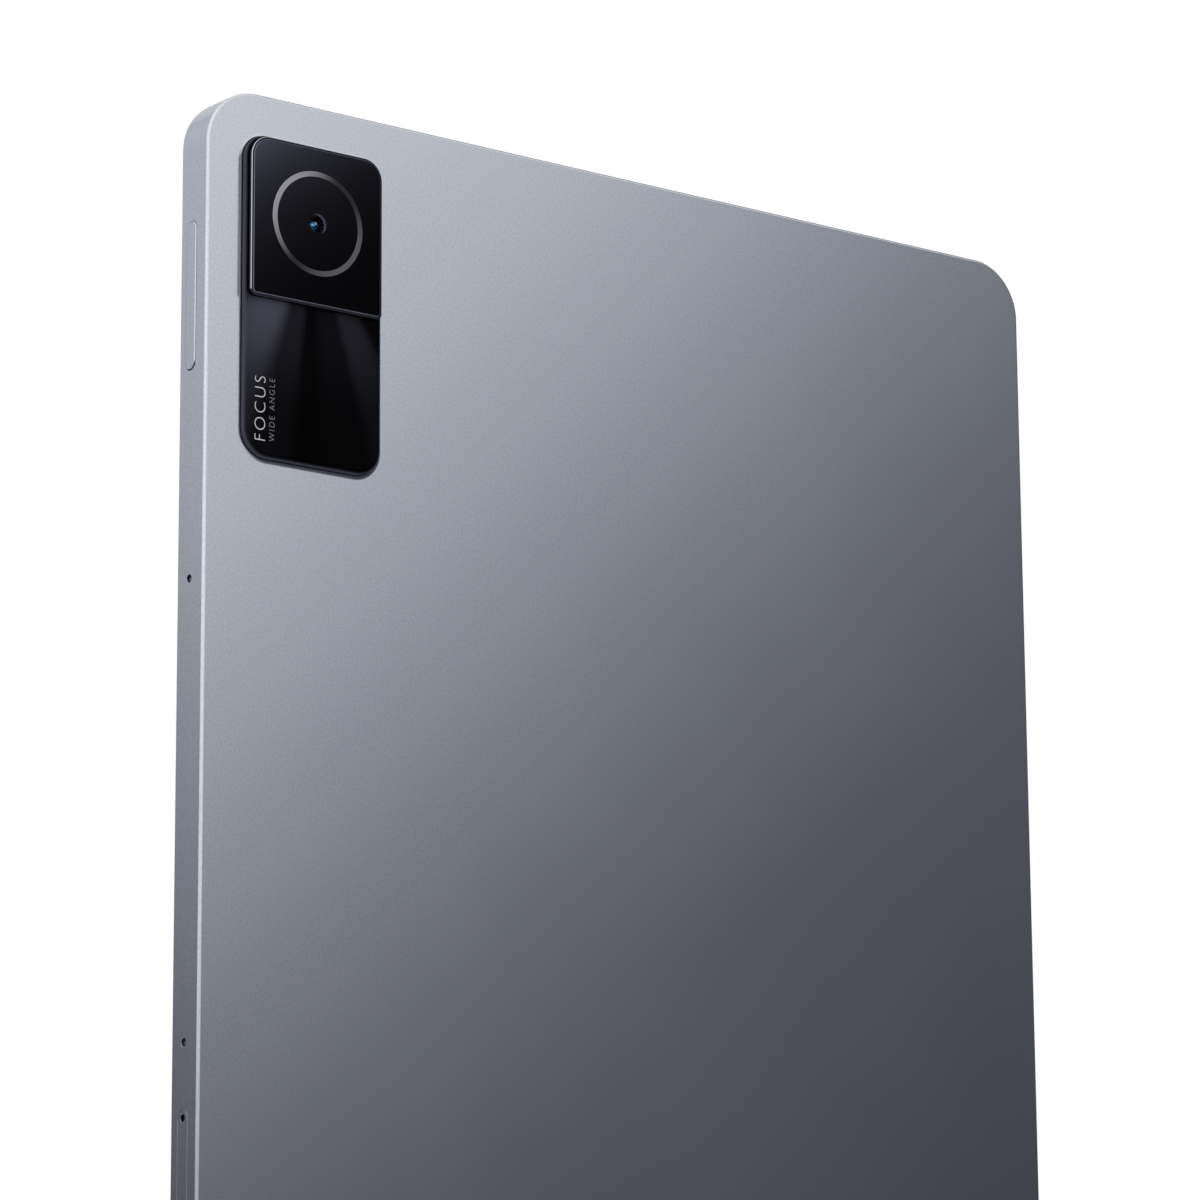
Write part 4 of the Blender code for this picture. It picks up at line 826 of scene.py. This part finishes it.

# %% [markdown]
# The window frame is plated black and its outer edge is cut back to bright metal with a diamond
# tool. The cut is a little over a tenth of a millimetre high, and the finish finds it by its height.
# The glass is painted black from behind, with a soft sheen that falls off from its upper corner on
# the key side. The sheen is painted too, as an exponential of the place, so it doesn't wander, and
# so is a thin highlight along the glass's softened edge.

# %% Window frame, glass and ring
WINDOW_CORNERS = np.array([3.2, 3.2, 0.9, 0.9]) * MM
FRAME_PROUD = window_high.y
FRAME_LIP, FRAME_FLOOR = 0.3 * MM, 0.1 * MM
FRAME_LEG, FRAME_SOFT = 0.09 * MM, 0.04 * MM
CUT_TOP, CUT_FOOT = (0.02 * MM, 0.01 * MM), (0.16 * MM, 0.13 * MM)  # below the frame's upper face
GLASS_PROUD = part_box("camera_glass")[1].y
GLASS_INSET, GLASS_DEEP = 0.36 * MM, 0.6 * MM
GLASS_LEG, GLASS_SOFT = 0.07 * MM, 0.04 * MM
LENS_WINDOW = 1.5 * MM
SHEEN, SHEEN_ACROSS, SHEEN_DOWN = 0.09, 9.8 * MM, 7.2 * MM
GLASS_BLACK = 0.001
# the painted highlight along the glass's softened edge: the height below the face that it covers, and its
# brightness
GLASS_EDGE_FALL, GLASS_EDGE_HIGHLIGHT = 0.015 * MM, 0.2
WINDOW_LOW, WINDOW_HIGH = np.array([window_low.x, window_low.z]), np.array([window_high.x, window_high.z])


def window_outline(inset):
    return rounded(WINDOW_LOW + inset, WINDOW_HIGH - inset, np.maximum(WINDOW_CORNERS - inset, 0.15 * MM))


def raised(leg, soft, inset, proud):
    """Rings of a softened edge that ends at an inset and a height above the back."""
    drop = soft_corner(leg, soft)[::-1]
    return [(inset, drop[0, 1] + HOLD / 2 - proud)] + [(inset + i, d - proud) for i, d in drop.tolist()]


steps = [(0.0, HOLD - PLATE_PROUD), *raised(FRAME_LEG, FRAME_SOFT, 0.0, FRAME_PROUD),
         (FRAME_LIP, -FRAME_PROUD), (FRAME_LIP, -PLATE_PROUD - FRAME_FLOOR)]
window_frame = make_piece("camera_window_frame", carried(window_outline, steps))
change(window_frame, "DIFFERENCE", barrel_way)
finish, tree, shader = new_finish("diamond_cut_frame", Metallic=1.0)
axes = split(tree, object_place(tree))
cut = product(tree,
              smooth_step(tree, axes["Y"], FRAME_PROUD - CUT_TOP[0], FRAME_PROUD - CUT_TOP[1], 1.0, 0.0),
              smooth_step(tree, axes["Y"], FRAME_PROUD - CUT_FOOT[0], FRAME_PROUD - CUT_FOOT[1]))
haze = noise(tree, object_place(tree), 300.0)
plated = mixed(tree, haze, (0.022, 0.022, 0.026), (0.032, 0.032, 0.037))
painted(tree, shader, cut, plated, (0.5, 0.5, 0.53))
gloss(tree, shader, haze, 0.12, 0.18)
finished(window_frame, finish, "chassis", "gloss_black", "camera_bezel")

steps = [(GLASS_INSET, GLASS_DEEP - GLASS_PROUD), *raised(GLASS_LEG, GLASS_SOFT, GLASS_INSET, GLASS_PROUD),
         (GLASS_INSET + GLASS_LEG + GLASS_SOFT + HOLD, -GLASS_PROUD)]
camera_glass = make_piece("camera_window", carried(window_outline, steps))
RING_WIDTH, RING_DEEP, RING_PLAY = 0.84 * MM, 0.2 * MM, 0.02 * MM
RING_CROWN, GROOVE_CROWN = 0.03 * MM, 0.01 * MM
RING_OUTER = (ring_high.x - ring_low.x) / 2
RING_INNER = RING_OUTER - RING_WIDTH


def ring_grid(inner, outer, low, high, crown):
    """A flat ring whose top is crowned: inner and outer circles at each height, 128 points round."""
    section = [(inner, low), (outer, low), (outer, high), (outer - crown, high - crown),
               (inner + crown, high - crown), (inner, high)]
    return carried(round_lens(128), section)


groove = ring_grid(RING_INNER - RING_PLAY, RING_OUTER + RING_PLAY,
                   RING_DEEP - GLASS_PROUD, -GLASS_PROUD - REACH, GROOVE_CROWN)
change(camera_glass, "DIFFERENCE", groove, looped=True)
change(camera_glass, "DIFFERENCE",
       straight(disc(LENS_PLACE, LENS_WINDOW, 64), (-GLASS_PROUD - REACH, REACH - GLASS_PROUD)))
finish, tree, shader = new_finish("coated_camera_glass", IOR=1.5, Roughness=0.03,
                                  Specular_IOR_Level=COATED_MIRROR)
axes = split(tree, object_place(tree))
from_side = math_node(tree, "SUBTRACT", axes["X"], WINDOW_HIGH[0])
from_side = math_node(tree, "DIVIDE", from_side, SHEEN_ACROSS)
from_top = math_node(tree, "SUBTRACT", axes["Z"], WINDOW_HIGH[1])
from_top = math_node(tree, "DIVIDE", from_top, SHEEN_DOWN)
sheen = math_node(tree, "EXPONENT", math_node(tree, "ADD", from_side, from_top))
light = math_node(tree, "MULTIPLY_ADD", sheen, SHEEN, GLASS_BLACK)
haze = noise(tree, object_place(tree), 60.0)
light = product(tree, light, smooth_step(tree, haze, *WIDE_SPAN, 0.94, 1.06))
paint_black_and_edge_highlight(tree, shader, light, GLASS_PROUD, GLASS_EDGE_FALL, GLASS_EDGE_HIGHLIGHT)
finished(camera_glass, finish, "chassis", "camera_glass", "camera_glass")
ring = make_piece("camera_ring_metal", ring_grid(RING_INNER, RING_OUTER, RING_DEEP - GLASS_PROUD,
                                                 -GLASS_PROUD, RING_CROWN), looped=True)

# %% [markdown]
# The ring is spun metal too: two opposite stretches shine, where the grooves lie across the light,
# and the rest is dark. As on the base plate, the shine is a painted highlight, a set of soft bumps
# over the angle in the metal's colour.

# %% Spun ring
# each painted highlight on the ring: the angle of its middle and half its width, in degrees, and its
# brightness
RING_RAYS = ((-122.0, 88.0, 0.40), (48.0, 78.0, 0.12))
RING_DARK, RING_GROOVES, RING_TINT = 0.04, 14000.0, (1.0, 1.0, 1.06)

finish, tree, shader = new_finish("spun_ring_metal", Metallic=1.0)
angle, radius = polar(tree, LENS_PLACE)
light = rays(tree, angle, RING_DARK, RING_RAYS)
grooves = noise(tree, stretched_place(tree, (RING_GROOVES, 0.0, 0.0), radius), 1.0, 2.0)
light = product(tree, light, smooth_step(tree, grooves, *WIDE_SPAN, 0.8, 1.2))
tree.links.new(tinted(tree, light, RING_TINT), shader.inputs["Base Color"])
gloss(tree, shader, grooves, 0.3, 0.4)
finished(ring, finish, "chassis", "ring", "camera_ring")

# %% [markdown]
# ### The lens
# Under a small clear window sits a black funnel with fine steps that swallow stray light, and in
# it the domed first lens, whose coating mirrors the studio in blue. Two glints on it are painted
# highlights in its colour, set by place.

# %% Lens, funnel and clear window
LENS_RADIUS = 1.0 * MM
LENS_TOP = 0.75 * MM  # below the face of the glass
LENS_DOME, LENS_CYLINDER = 0.45 * MM, 0.3 * MM  # heights of the domed part and of the edge below it
FUNNEL_STEPS, FUNNEL_DEEP, LENS_PLAY = 5, 0.7 * MM, 0.1 * MM
FUNNEL_OUTER = LENS_WINDOW + 0.3 * MM
BARREL_RADIUS, BARREL_FLOOR = 3.2 * MM, 1.8 * MM
WINDOW_THICK, WINDOW_SUNK = 0.04 * MM, 0.01 * MM
funnel_top = GLASS_DEEP + RING_PLAY - GLASS_PROUD
# each glint, a painted highlight on the coating: place across and up from the lens's middle, size in mm, and
# colour
PAINTED_LENS_GLINTS = ((-0.36, 0.22, 0.42, (0.66, 0.9, 1.0)), (0.4, -0.12, 0.36, (0.14, 0.42, 0.58)))


def dome_grid(radius, foot, top, rings=10, sides=48):
    """A shallow dome: its height falls with the cosine of the angle out from its middle."""
    a = np.linspace(math.pi / 2, 0.06, rings)
    return carried(round_lens(sides), [(radius * math.sin(q), foot + (top - foot) * math.cos(q)) for q in a])


finish, tree, shader = new_finish("coated_lens", Metallic=1.0, Roughness=0.06, IOR=1.6)
angle, radius = polar(tree, LENS_PLACE)
colour = mixed(tree, smooth_step(tree, radius, 0.2 * MM, LENS_RADIUS), (0.02, 0.11, 0.2), (0.004, 0.02, 0.05))
for across, upwards, size, glint in PAINTED_LENS_GLINTS:
    _, away = polar(tree, LENS_PLACE + np.array([across, upwards]) * MM)
    colour = mixed(tree, smooth_step(tree, away, 0.4 * size * MM, size * MM, 1.0, 0.0), colour, glint)
tree.links.new(colour, shader.inputs["Base Color"])
lens_foot = LENS_TOP + LENS_DOME - GLASS_PROUD
lens = make_piece("camera_lens_dome", straight(disc(LENS_PLACE, LENS_RADIUS, 48), [lens_foot + LENS_CYLINDER])
                  + dome_grid(LENS_RADIUS, lens_foot, LENS_TOP - GLASS_PROUD))
finished(lens, finish, "chassis", "lens", "camera_lens")

funnel = [(BARREL_RADIUS, BARREL_FLOOR), (BARREL_RADIUS, -FRAME_TOP), (FUNNEL_OUTER, -FRAME_TOP),
          (FUNNEL_OUTER, funnel_top)]
for step in range(FUNNEL_STEPS):
    share = step / FUNNEL_STEPS
    out = LENS_WINDOW - (LENS_WINDOW - LENS_RADIUS - LENS_PLAY) * share
    deep = funnel_top + FUNNEL_DEEP * share
    funnel += [(out, deep), (out, deep + FUNNEL_DEEP / FUNNEL_STEPS)]
barrel = make_piece("camera_barrel_funnel", carried(round_lens(64), funnel))
FUNNEL_BLACK = moulded("funnel_black", (0.006, 0.0062, 0.007), 0.5, Specular_IOR_Level=0.05)
finished(barrel, FUNNEL_BLACK, "chassis", "black_plastic", "camera_barrel")

finish, tree, shader = new_finish("clear_window", IOR=1.05, Transmission_Weight=1.0, Roughness=0.0)
haze = noise(tree, object_place(tree), 900.0)
painted(tree, shader, haze, (0.90, 0.94, 0.97), (0.94, 0.97, 1.0))
window_disc = make_piece("camera_lens_window", straight(
    disc(LENS_PLACE, LENS_WINDOW - RING_PLAY, 64),
    (WINDOW_THICK + WINDOW_SUNK - GLASS_PROUD, WINDOW_SUNK - GLASS_PROUD)))
finished(window_disc, finish, "chassis", "camera_glass")

# %% [markdown]
# ### Lettering
# Two lines are printed on the base plate, turned to read upwards along the island. The words are
# plain ones that say what the part is. Each is a text object made into a thin mesh: printed ink is
# a few hundredths of a millimetre thick, and so is this. The strokes are stretched to fill the
# same rectangle as the print.

# %% Lettering
INK_THICK, INK_SUNK = 0.014 * MM, 0.004 * MM
LINE_GAP = (10.0 * MM, 10.2 * MM)  # between the two lines, from the key edge
# Each line: words, millimetres from the key edge and from the top edge, spacing, thinner strokes.
PRINT_LINES = (("FOCUS", (7.93, 9.77), (43.14, 52.73), 1.25, -0.021),
               ("WIDE ANGLE", (10.46, 11.42), (43.19, 52.61), 1.35, -0.018))


def printed(name, words, from_side, from_top, spacing, thinner):
    """Words as a thin mesh that fills a rectangle, measured from the key edge and the top edge."""
    text = bpy.data.curves.new(name, "FONT")
    text.body = words
    text.space_character = spacing
    text.offset = thinner
    text.extrude = 0.5
    holder = linked(name, text)
    mesh = bpy.data.meshes.new_from_object(holder.evaluated_get(bpy.context.evaluated_depsgraph_get()))
    bpy.data.objects.remove(holder)
    flat = np.empty(len(mesh.vertices) * 3)
    mesh.vertices.foreach_get("co", flat)
    flat = flat.reshape(-1, 3)
    share = (flat - flat.min(0)) / (flat.max(0) - flat.min(0))
    along = SIDE - (from_side[1] - share[:, 1] * (from_side[1] - from_side[0])) * MM
    height = TOP - (from_top[1] - share[:, 0] * (from_top[1] - from_top[0])) * MM
    out = PLATE_PROUD - INK_SUNK + share[:, 2] * INK_THICK
    mesh.vertices.foreach_set("co", np.stack([along, out, height], axis=1).ravel())
    mesh.update()
    return mesh


finish, tree, shader = new_finish("printed_ink", Specular_IOR_Level=0.3)
speck = noise(tree, object_place(tree), 8000.0)
axes = split(tree, object_place(tree))
first_line = smooth_step(tree, axes["X"], SIDE - LINE_GAP[1], SIDE - LINE_GAP[0])
faint = mixed(tree, speck, (0.24, 0.25, 0.26), (0.30, 0.31, 0.32))
strong = mixed(tree, speck, (0.62, 0.63, 0.65), (0.70, 0.71, 0.73))
painted(tree, shader, first_line, faint, strong)
gloss(tree, shader, speck, 0.4, 0.5)
ink = bmesh.new()
for number, line in enumerate(PRINT_LINES, 1):
    ink.from_mesh(printed(f"line_{number}", *line))
bmesh.ops.remove_doubles(ink, verts=ink.verts, dist=1e-7)
bmesh.ops.recalc_face_normals(ink, faces=ink.faces)
ink_mesh = bpy.data.meshes.new("camera_lettering")
ink.to_mesh(ink_mesh)
ink.free()
finished(linked("camera_lettering", ink_mesh), finish, "chassis", "gloss_black")

# %% [markdown]
# ## The screen side
# The front is one sheet of glass, rounded at its rim, over a black printed border. Through it
# the switched-off screen is a trace lighter and bluer than the border, and the front camera is
# a small dark dot with a faint ring. Those are differences of paint under the glass, so they are
# made in the finish, by place, and the glass stays one clean surface.

# %% Front glass
glass_low, glass_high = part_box("cover_glass")
BORDER = 9.66 * MM
EYE_RING, EYE_RING_SOFT = 1.5 * MM, 0.35 * MM  # radius and half width of the front camera's ring
GLASS_EDGE, GLASS_FALL = 0.55 * MM, 0.38 * MM


def step_edge(tree, value, at, softness=0.04 * MM):
    """0 below a place, 1 above it, with a hair's width between."""
    return smooth_step(tree, value, at - softness, at + softness)


finish, tree, shader = new_finish("front_glass", IOR=1.5)
axes = split(tree, object_place(tree))
far_x = math_node(tree, "ABSOLUTE", axes["X"])
far_z = math_node(tree, "ABSOLUTE", axes["Z"])
in_x = math_node(tree, "SUBTRACT", 1.0, step_edge(tree, far_x, WIDTH / 2 - BORDER))
in_z = math_node(tree, "SUBTRACT", 1.0, step_edge(tree, far_z, HEIGHT / 2 - BORDER))
lit_area = product(tree, in_x, in_z)
eye = middle("front_camera_lens")
_, eye_distance = polar(tree, (eye.x, eye.z))
eye_ring = math_node(tree, "ABSOLUTE", math_node(tree, "SUBTRACT", eye_distance, EYE_RING))
eye_ring = smooth_step(tree, eye_ring, 0.0, EYE_RING_SOFT, 1.0, 0.0)
haze = noise(tree, object_place(tree), 30.0)
border_paint = mixed(tree, haze, (0.0016, 0.0016, 0.002), (0.0026, 0.0026, 0.003))
panel_paint = mixed(tree, haze, (0.0042, 0.0045, 0.0062), (0.0052, 0.0056, 0.0075))
paint = mixed(tree, lit_area, border_paint, panel_paint)
painted(tree, shader, eye_ring, paint, (0.012, 0.014, 0.022))
gloss(tree, shader, haze, 0.02, 0.035)


def front_outline(inset):
    low = np.array([glass_low.x, glass_low.z]) + inset
    high = np.array([glass_high.x, glass_high.z]) - inset
    return rounded(low, high, BODY_CORNER - RIM_LIP - inset, steps=32)


steps = [(0.0, -glass_high.y), (0.0, THICKNESS - GLASS_FALL - HOLD)]
steps += [(inset, THICKNESS - fall) for inset, fall in curved_edge(GLASS_EDGE, GLASS_FALL)]
steps += [(GLASS_EDGE + HOLD, THICKNESS)]
front = make_piece("front_glass_sheet", carried(front_outline, steps))
finished(front, finish, "chassis", "cover_glass", "cover_glass")

# %% [markdown]
# ## The socket in the bottom edge
# The socket is a drawn steel shell with a rounded lip and a tongue in the middle with flat
# contacts on both of its faces. The shell is one closed skin, a cup that opens at its mouth. The
# contacts are thin plates of brass-coloured metal, each closed by itself, in one piece.

# %% Socket shell, tongue and contacts
SOCKET_SHEET, SOCKET_INSET = 0.3 * MM, 0.5 * MM
SOCKET_ROUND = 0.08 * MM
tongue_low, tongue_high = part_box("usb_tongue")
TONGUE_ROUND = 0.15 * MM
CONTACTS, CONTACT_PITCH, CONTACT_WIDTH, CONTACT_THICK = 12, 0.5 * MM, 0.26 * MM, 0.02 * MM


def metal(name, tone, roughness, scale, stretch=(1.0, 1.0, 1.0)):
    """Bare metal: a stretched noise sets the tone and the gloss along the way it was rolled."""
    finish, tree, shader = new_finish(name, Metallic=1.0)
    value = noise(tree, stretched_place(tree, stretch), scale, 3.0)
    painted(tree, shader, value, scaled(tone, 0.86), tone)
    gloss(tree, shader, value, roughness * 0.8, roughness * 1.25, (0.25, 0.75))
    return finish


STEEL = metal("sheet_steel", (0.60, 0.60, 0.61), 0.32, 3000.0, (1.0, 1.0, 0.12))
BRASS = metal("plated_brass", (0.78, 0.62, 0.33), 0.28, 4000.0)


def socket_outline(inset):
    return pill(USB_CENTRE, USB_SIZE[0] - 2 * inset, USB_SIZE[1] - 2 * inset, 16)


mouth = -TOP + SOCKET_INSET
sections = [(0.0, usb_high.z), (0.0, mouth + SOCKET_ROUND), (SOCKET_ROUND, mouth),
            (SOCKET_SHEET - SOCKET_ROUND, mouth), (SOCKET_SHEET, mouth + SOCKET_ROUND),
            (SOCKET_SHEET, tongue_high.z - SOCKET_SHEET)]
socket = make_piece("usb_socket_shell", carried(socket_outline, sections, facing_top))
finished(socket, STEEL, "chassis", "steel", "usb_shell")


def tongue_outline(grow):
    low = np.array([tongue_low.x, -tongue_high.y]) - grow
    high = np.array([tongue_high.x, -tongue_low.y]) + grow
    return rounded(low, high, TONGUE_ROUND, 6)


steps = [(-TONGUE_ROUND, tongue_low.z), (0.0, tongue_low.z + TONGUE_ROUND), (0.0, tongue_high.z)]
tongue = make_piece("usb_tongue_plastic", carried(tongue_outline, steps, facing_top))
finished(tongue, BLACK_PLASTIC, "chassis", "black_plastic", "usb_tongue")

contact_grids = []
for side in (-1, 1):
    face = -tongue_low.y if side > 0 else -tongue_high.y
    for k in range(CONTACTS):
        x = (k - (CONTACTS - 1) / 2) * CONTACT_PITCH
        outline = rounded((x - CONTACT_WIDTH / 2, tongue_low.z + 0.5 * MM),
                          (x + CONTACT_WIDTH / 2, tongue_high.z - 1.0 * MM), 0.06 * MM, 3)
        contact_grids.append(straight(outline, (face - side * HOLD / 5, face + side * CONTACT_THICK)))
contacts = make_piece("usb_contacts", *contact_grids)
finished(contacts, BRASS, "chassis", "brass")

# %% [markdown]
# A microphone hole isn't an empty hole: a woven dust mesh closes it just behind the mouth. The
# disc is painted dark round the rim as shade from the hole's wall, and paler in the middle as the
# light that reaches into so small a hole.

# %% Dust meshes in the microphone holes
MESH_DEPTH, MESH_THICK, MESH_MIDDLE = 0.22 * MM, 0.06 * MM, 0.3 * MM
mesh_discs = []
finish, tree, shader = new_finish("woven_dust_mesh", Metallic=0.6, Roughness=0.5)
weave = noise(tree, object_place(tree), 9000.0, 1.0)
axes = split(tree, object_place(tree))
colour = mixed(tree, weave, (0.006, 0.006, 0.007), (0.012, 0.012, 0.014))
for name in ("microphone_1", "microphone_2"):
    place = middle(name)
    along = math_node(tree, "SUBTRACT", axes["Z"], place.z)
    through = math_node(tree, "SUBTRACT", axes["Y"], place.y)
    # painted light in the middle of each disc; the rim keeps the dark colour as painted shade
    pale = smooth_step(tree, distance(tree, along, through), 0.5 * MESH_MIDDLE, MESH_MIDDLE, 1.0, 0.0)
    colour = mixed(tree, pale, colour, (0.16, 0.165, 0.18))
    mesh_discs.append(straight(disc((place.z, -place.y), MICROPHONE_HOLE - HOLD / 5),
                               (SIDE - MESH_DEPTH - MESH_THICK, SIDE - MESH_DEPTH), facing_side))
tree.links.new(colour, shader.inputs["Base Color"])
finished(make_piece("microphone_dust_meshes", *mesh_discs), finish, "chassis", "steel")

# %% [markdown]
# ## What lies inside
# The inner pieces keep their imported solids: they carry the model's real structure, and only
# traces of them can be seen, through the holes and behind the tray. Each gets the finish of its
# own stuff by its material slot in the record, so that a cut-open view reads correctly.

# %% Finishes of the inner pieces


def circuit_board():
    """Green solder mask: a brick pattern gives rows of pads, a fine noise gives tracks."""
    finish, tree, shader = new_finish("circuit_board", IOR=1.5)
    place = object_place(tree)
    flat = tree.nodes.new("ShaderNodeMapping")
    tree.links.new(place, flat.inputs["Vector"])
    flat.inputs["Rotation"].default_value = (math.pi / 2, 0.0, 0.0)
    pads = socket_value(tree.nodes.new("ShaderNodeTexBrick"), Scale=300.0, Mortar_Size=0.06,
                        Color1=(0.02, 0.12, 0.06, 1), Color2=(0.03, 0.16, 0.08, 1),
                        Mortar=(0.012, 0.07, 0.035, 1))
    tree.links.new(flat.outputs["Vector"], pads.inputs["Vector"])
    tracks = noise(tree, place, 700.0, 1.0)
    lines = smooth_step(tree, tracks, 0.49, 0.51)
    painted(tree, shader, lines, pads.outputs["Color"], (0.035, 0.2, 0.1))
    gloss(tree, shader, tracks, 0.28, 0.4)
    return finish


def film(name, tone, roughness, scale=180.0, **values):
    """Foil or film: long soft creases in tone, gloss and relief."""
    finish, tree, shader = new_finish(name, **values)
    creases = noise(tree, stretched_place(tree, (1.0, 1.0, 0.35)), scale, 4.0)
    painted(tree, shader, creases, scaled(tone, 0.75), scaled(tone, 1.2))
    gloss(tree, shader, creases, roughness * 0.8, roughness * 1.2)
    bumpy(tree, shader, creases, 0.3, 0.1 * MM)
    return finish


INNER_FINISHES = {
    "board": circuit_board(),
    "steel": STEEL,
    "brass": BRASS,
    "flex": film("amber_film", (0.45, 0.22, 0.04), 0.3, IOR=1.6),
    "battery": film("pouch_foil", (0.05, 0.05, 0.055), 0.38, 90.0),
    "rubber": moulded("soft_rubber", (0.025, 0.025, 0.026), 0.75, 1800.0),
    "antenna": moulded("antenna_carrier", (0.09, 0.09, 0.095), 0.5, 1500.0),
    "adhesive": moulded("foam_tape", (0.02, 0.02, 0.021), 0.85, 3500.0),
    "black_plastic": BLACK_PLASTIC,
    "lcd_panel": black_glass("screen_panel", (0.01, 0.011, 0.016), 0.12, IOR=1.5),
    "backlight": film("reflector_film", (0.72, 0.72, 0.7), 0.35, 60.0),
    "lens": black_glass("small_coated_lens", (0.01, 0.02, 0.06), 0.04, IOR=1.6),
}
covered = {"rear_cover", "cover_glass", "camera_frame", "camera_lower_panel", "camera_bezel", "camera_glass",
           "camera_ring", "camera_lens", "camera_barrel", "volume_key", "power_key", "card_tray", "usb_shell",
           "usb_tongue"}
dressed = 0
for part in frame["record"]["subparts"]:
    if part["node"] in covered:
        continue
    data = frame["nodes"][part["node"]].data
    data.materials.clear()
    data.materials.append(INNER_FINISHES[part["material_slot"]])
    dressed += 1
print("inner pieces dressed:", dressed)

# %% [markdown]
# ## Floor
# The tablet stands on a plain pale floor that reaches far past it. The floor is left out of
# mirror images, as a studio does with a black card: a satin back that stands on a white table
# would glow at its lower end, and here it has to fall away into grey.

# %% Floor
FLOOR_REACH, FLOOR_DIVISIONS = 3.0, 12
lattice = np.linspace(-FLOOR_REACH, FLOOR_REACH, FLOOR_DIVISIONS + 1)
finish, tree, shader = new_finish("pale_floor")
mottle = noise(tree, object_place(tree), 3.0)
painted(tree, shader, mottle, (0.80, 0.80, 0.80), (0.84, 0.84, 0.84))
gloss(tree, shader, mottle, 0.7, 0.8)
sheet = bmesh.new()
rows = [[sheet.verts.new((x, y, -TOP)) for x in lattice] for y in lattice]
for a, b in zip(rows, rows[1:]):
    for k in range(FLOOR_DIVISIONS):
        sheet.faces.new((a[k], a[k + 1], b[k + 1], b[k]))
floor_mesh = bpy.data.meshes.new("floor")
sheet.to_mesh(floor_mesh)
sheet.free()
floor_mesh.materials.append(finish)
floor = linked("floor", floor_mesh)
floor.visible_glossy = False
print("floor at", round(-TOP / MM, 2), "mm")

# %% Imports
import json
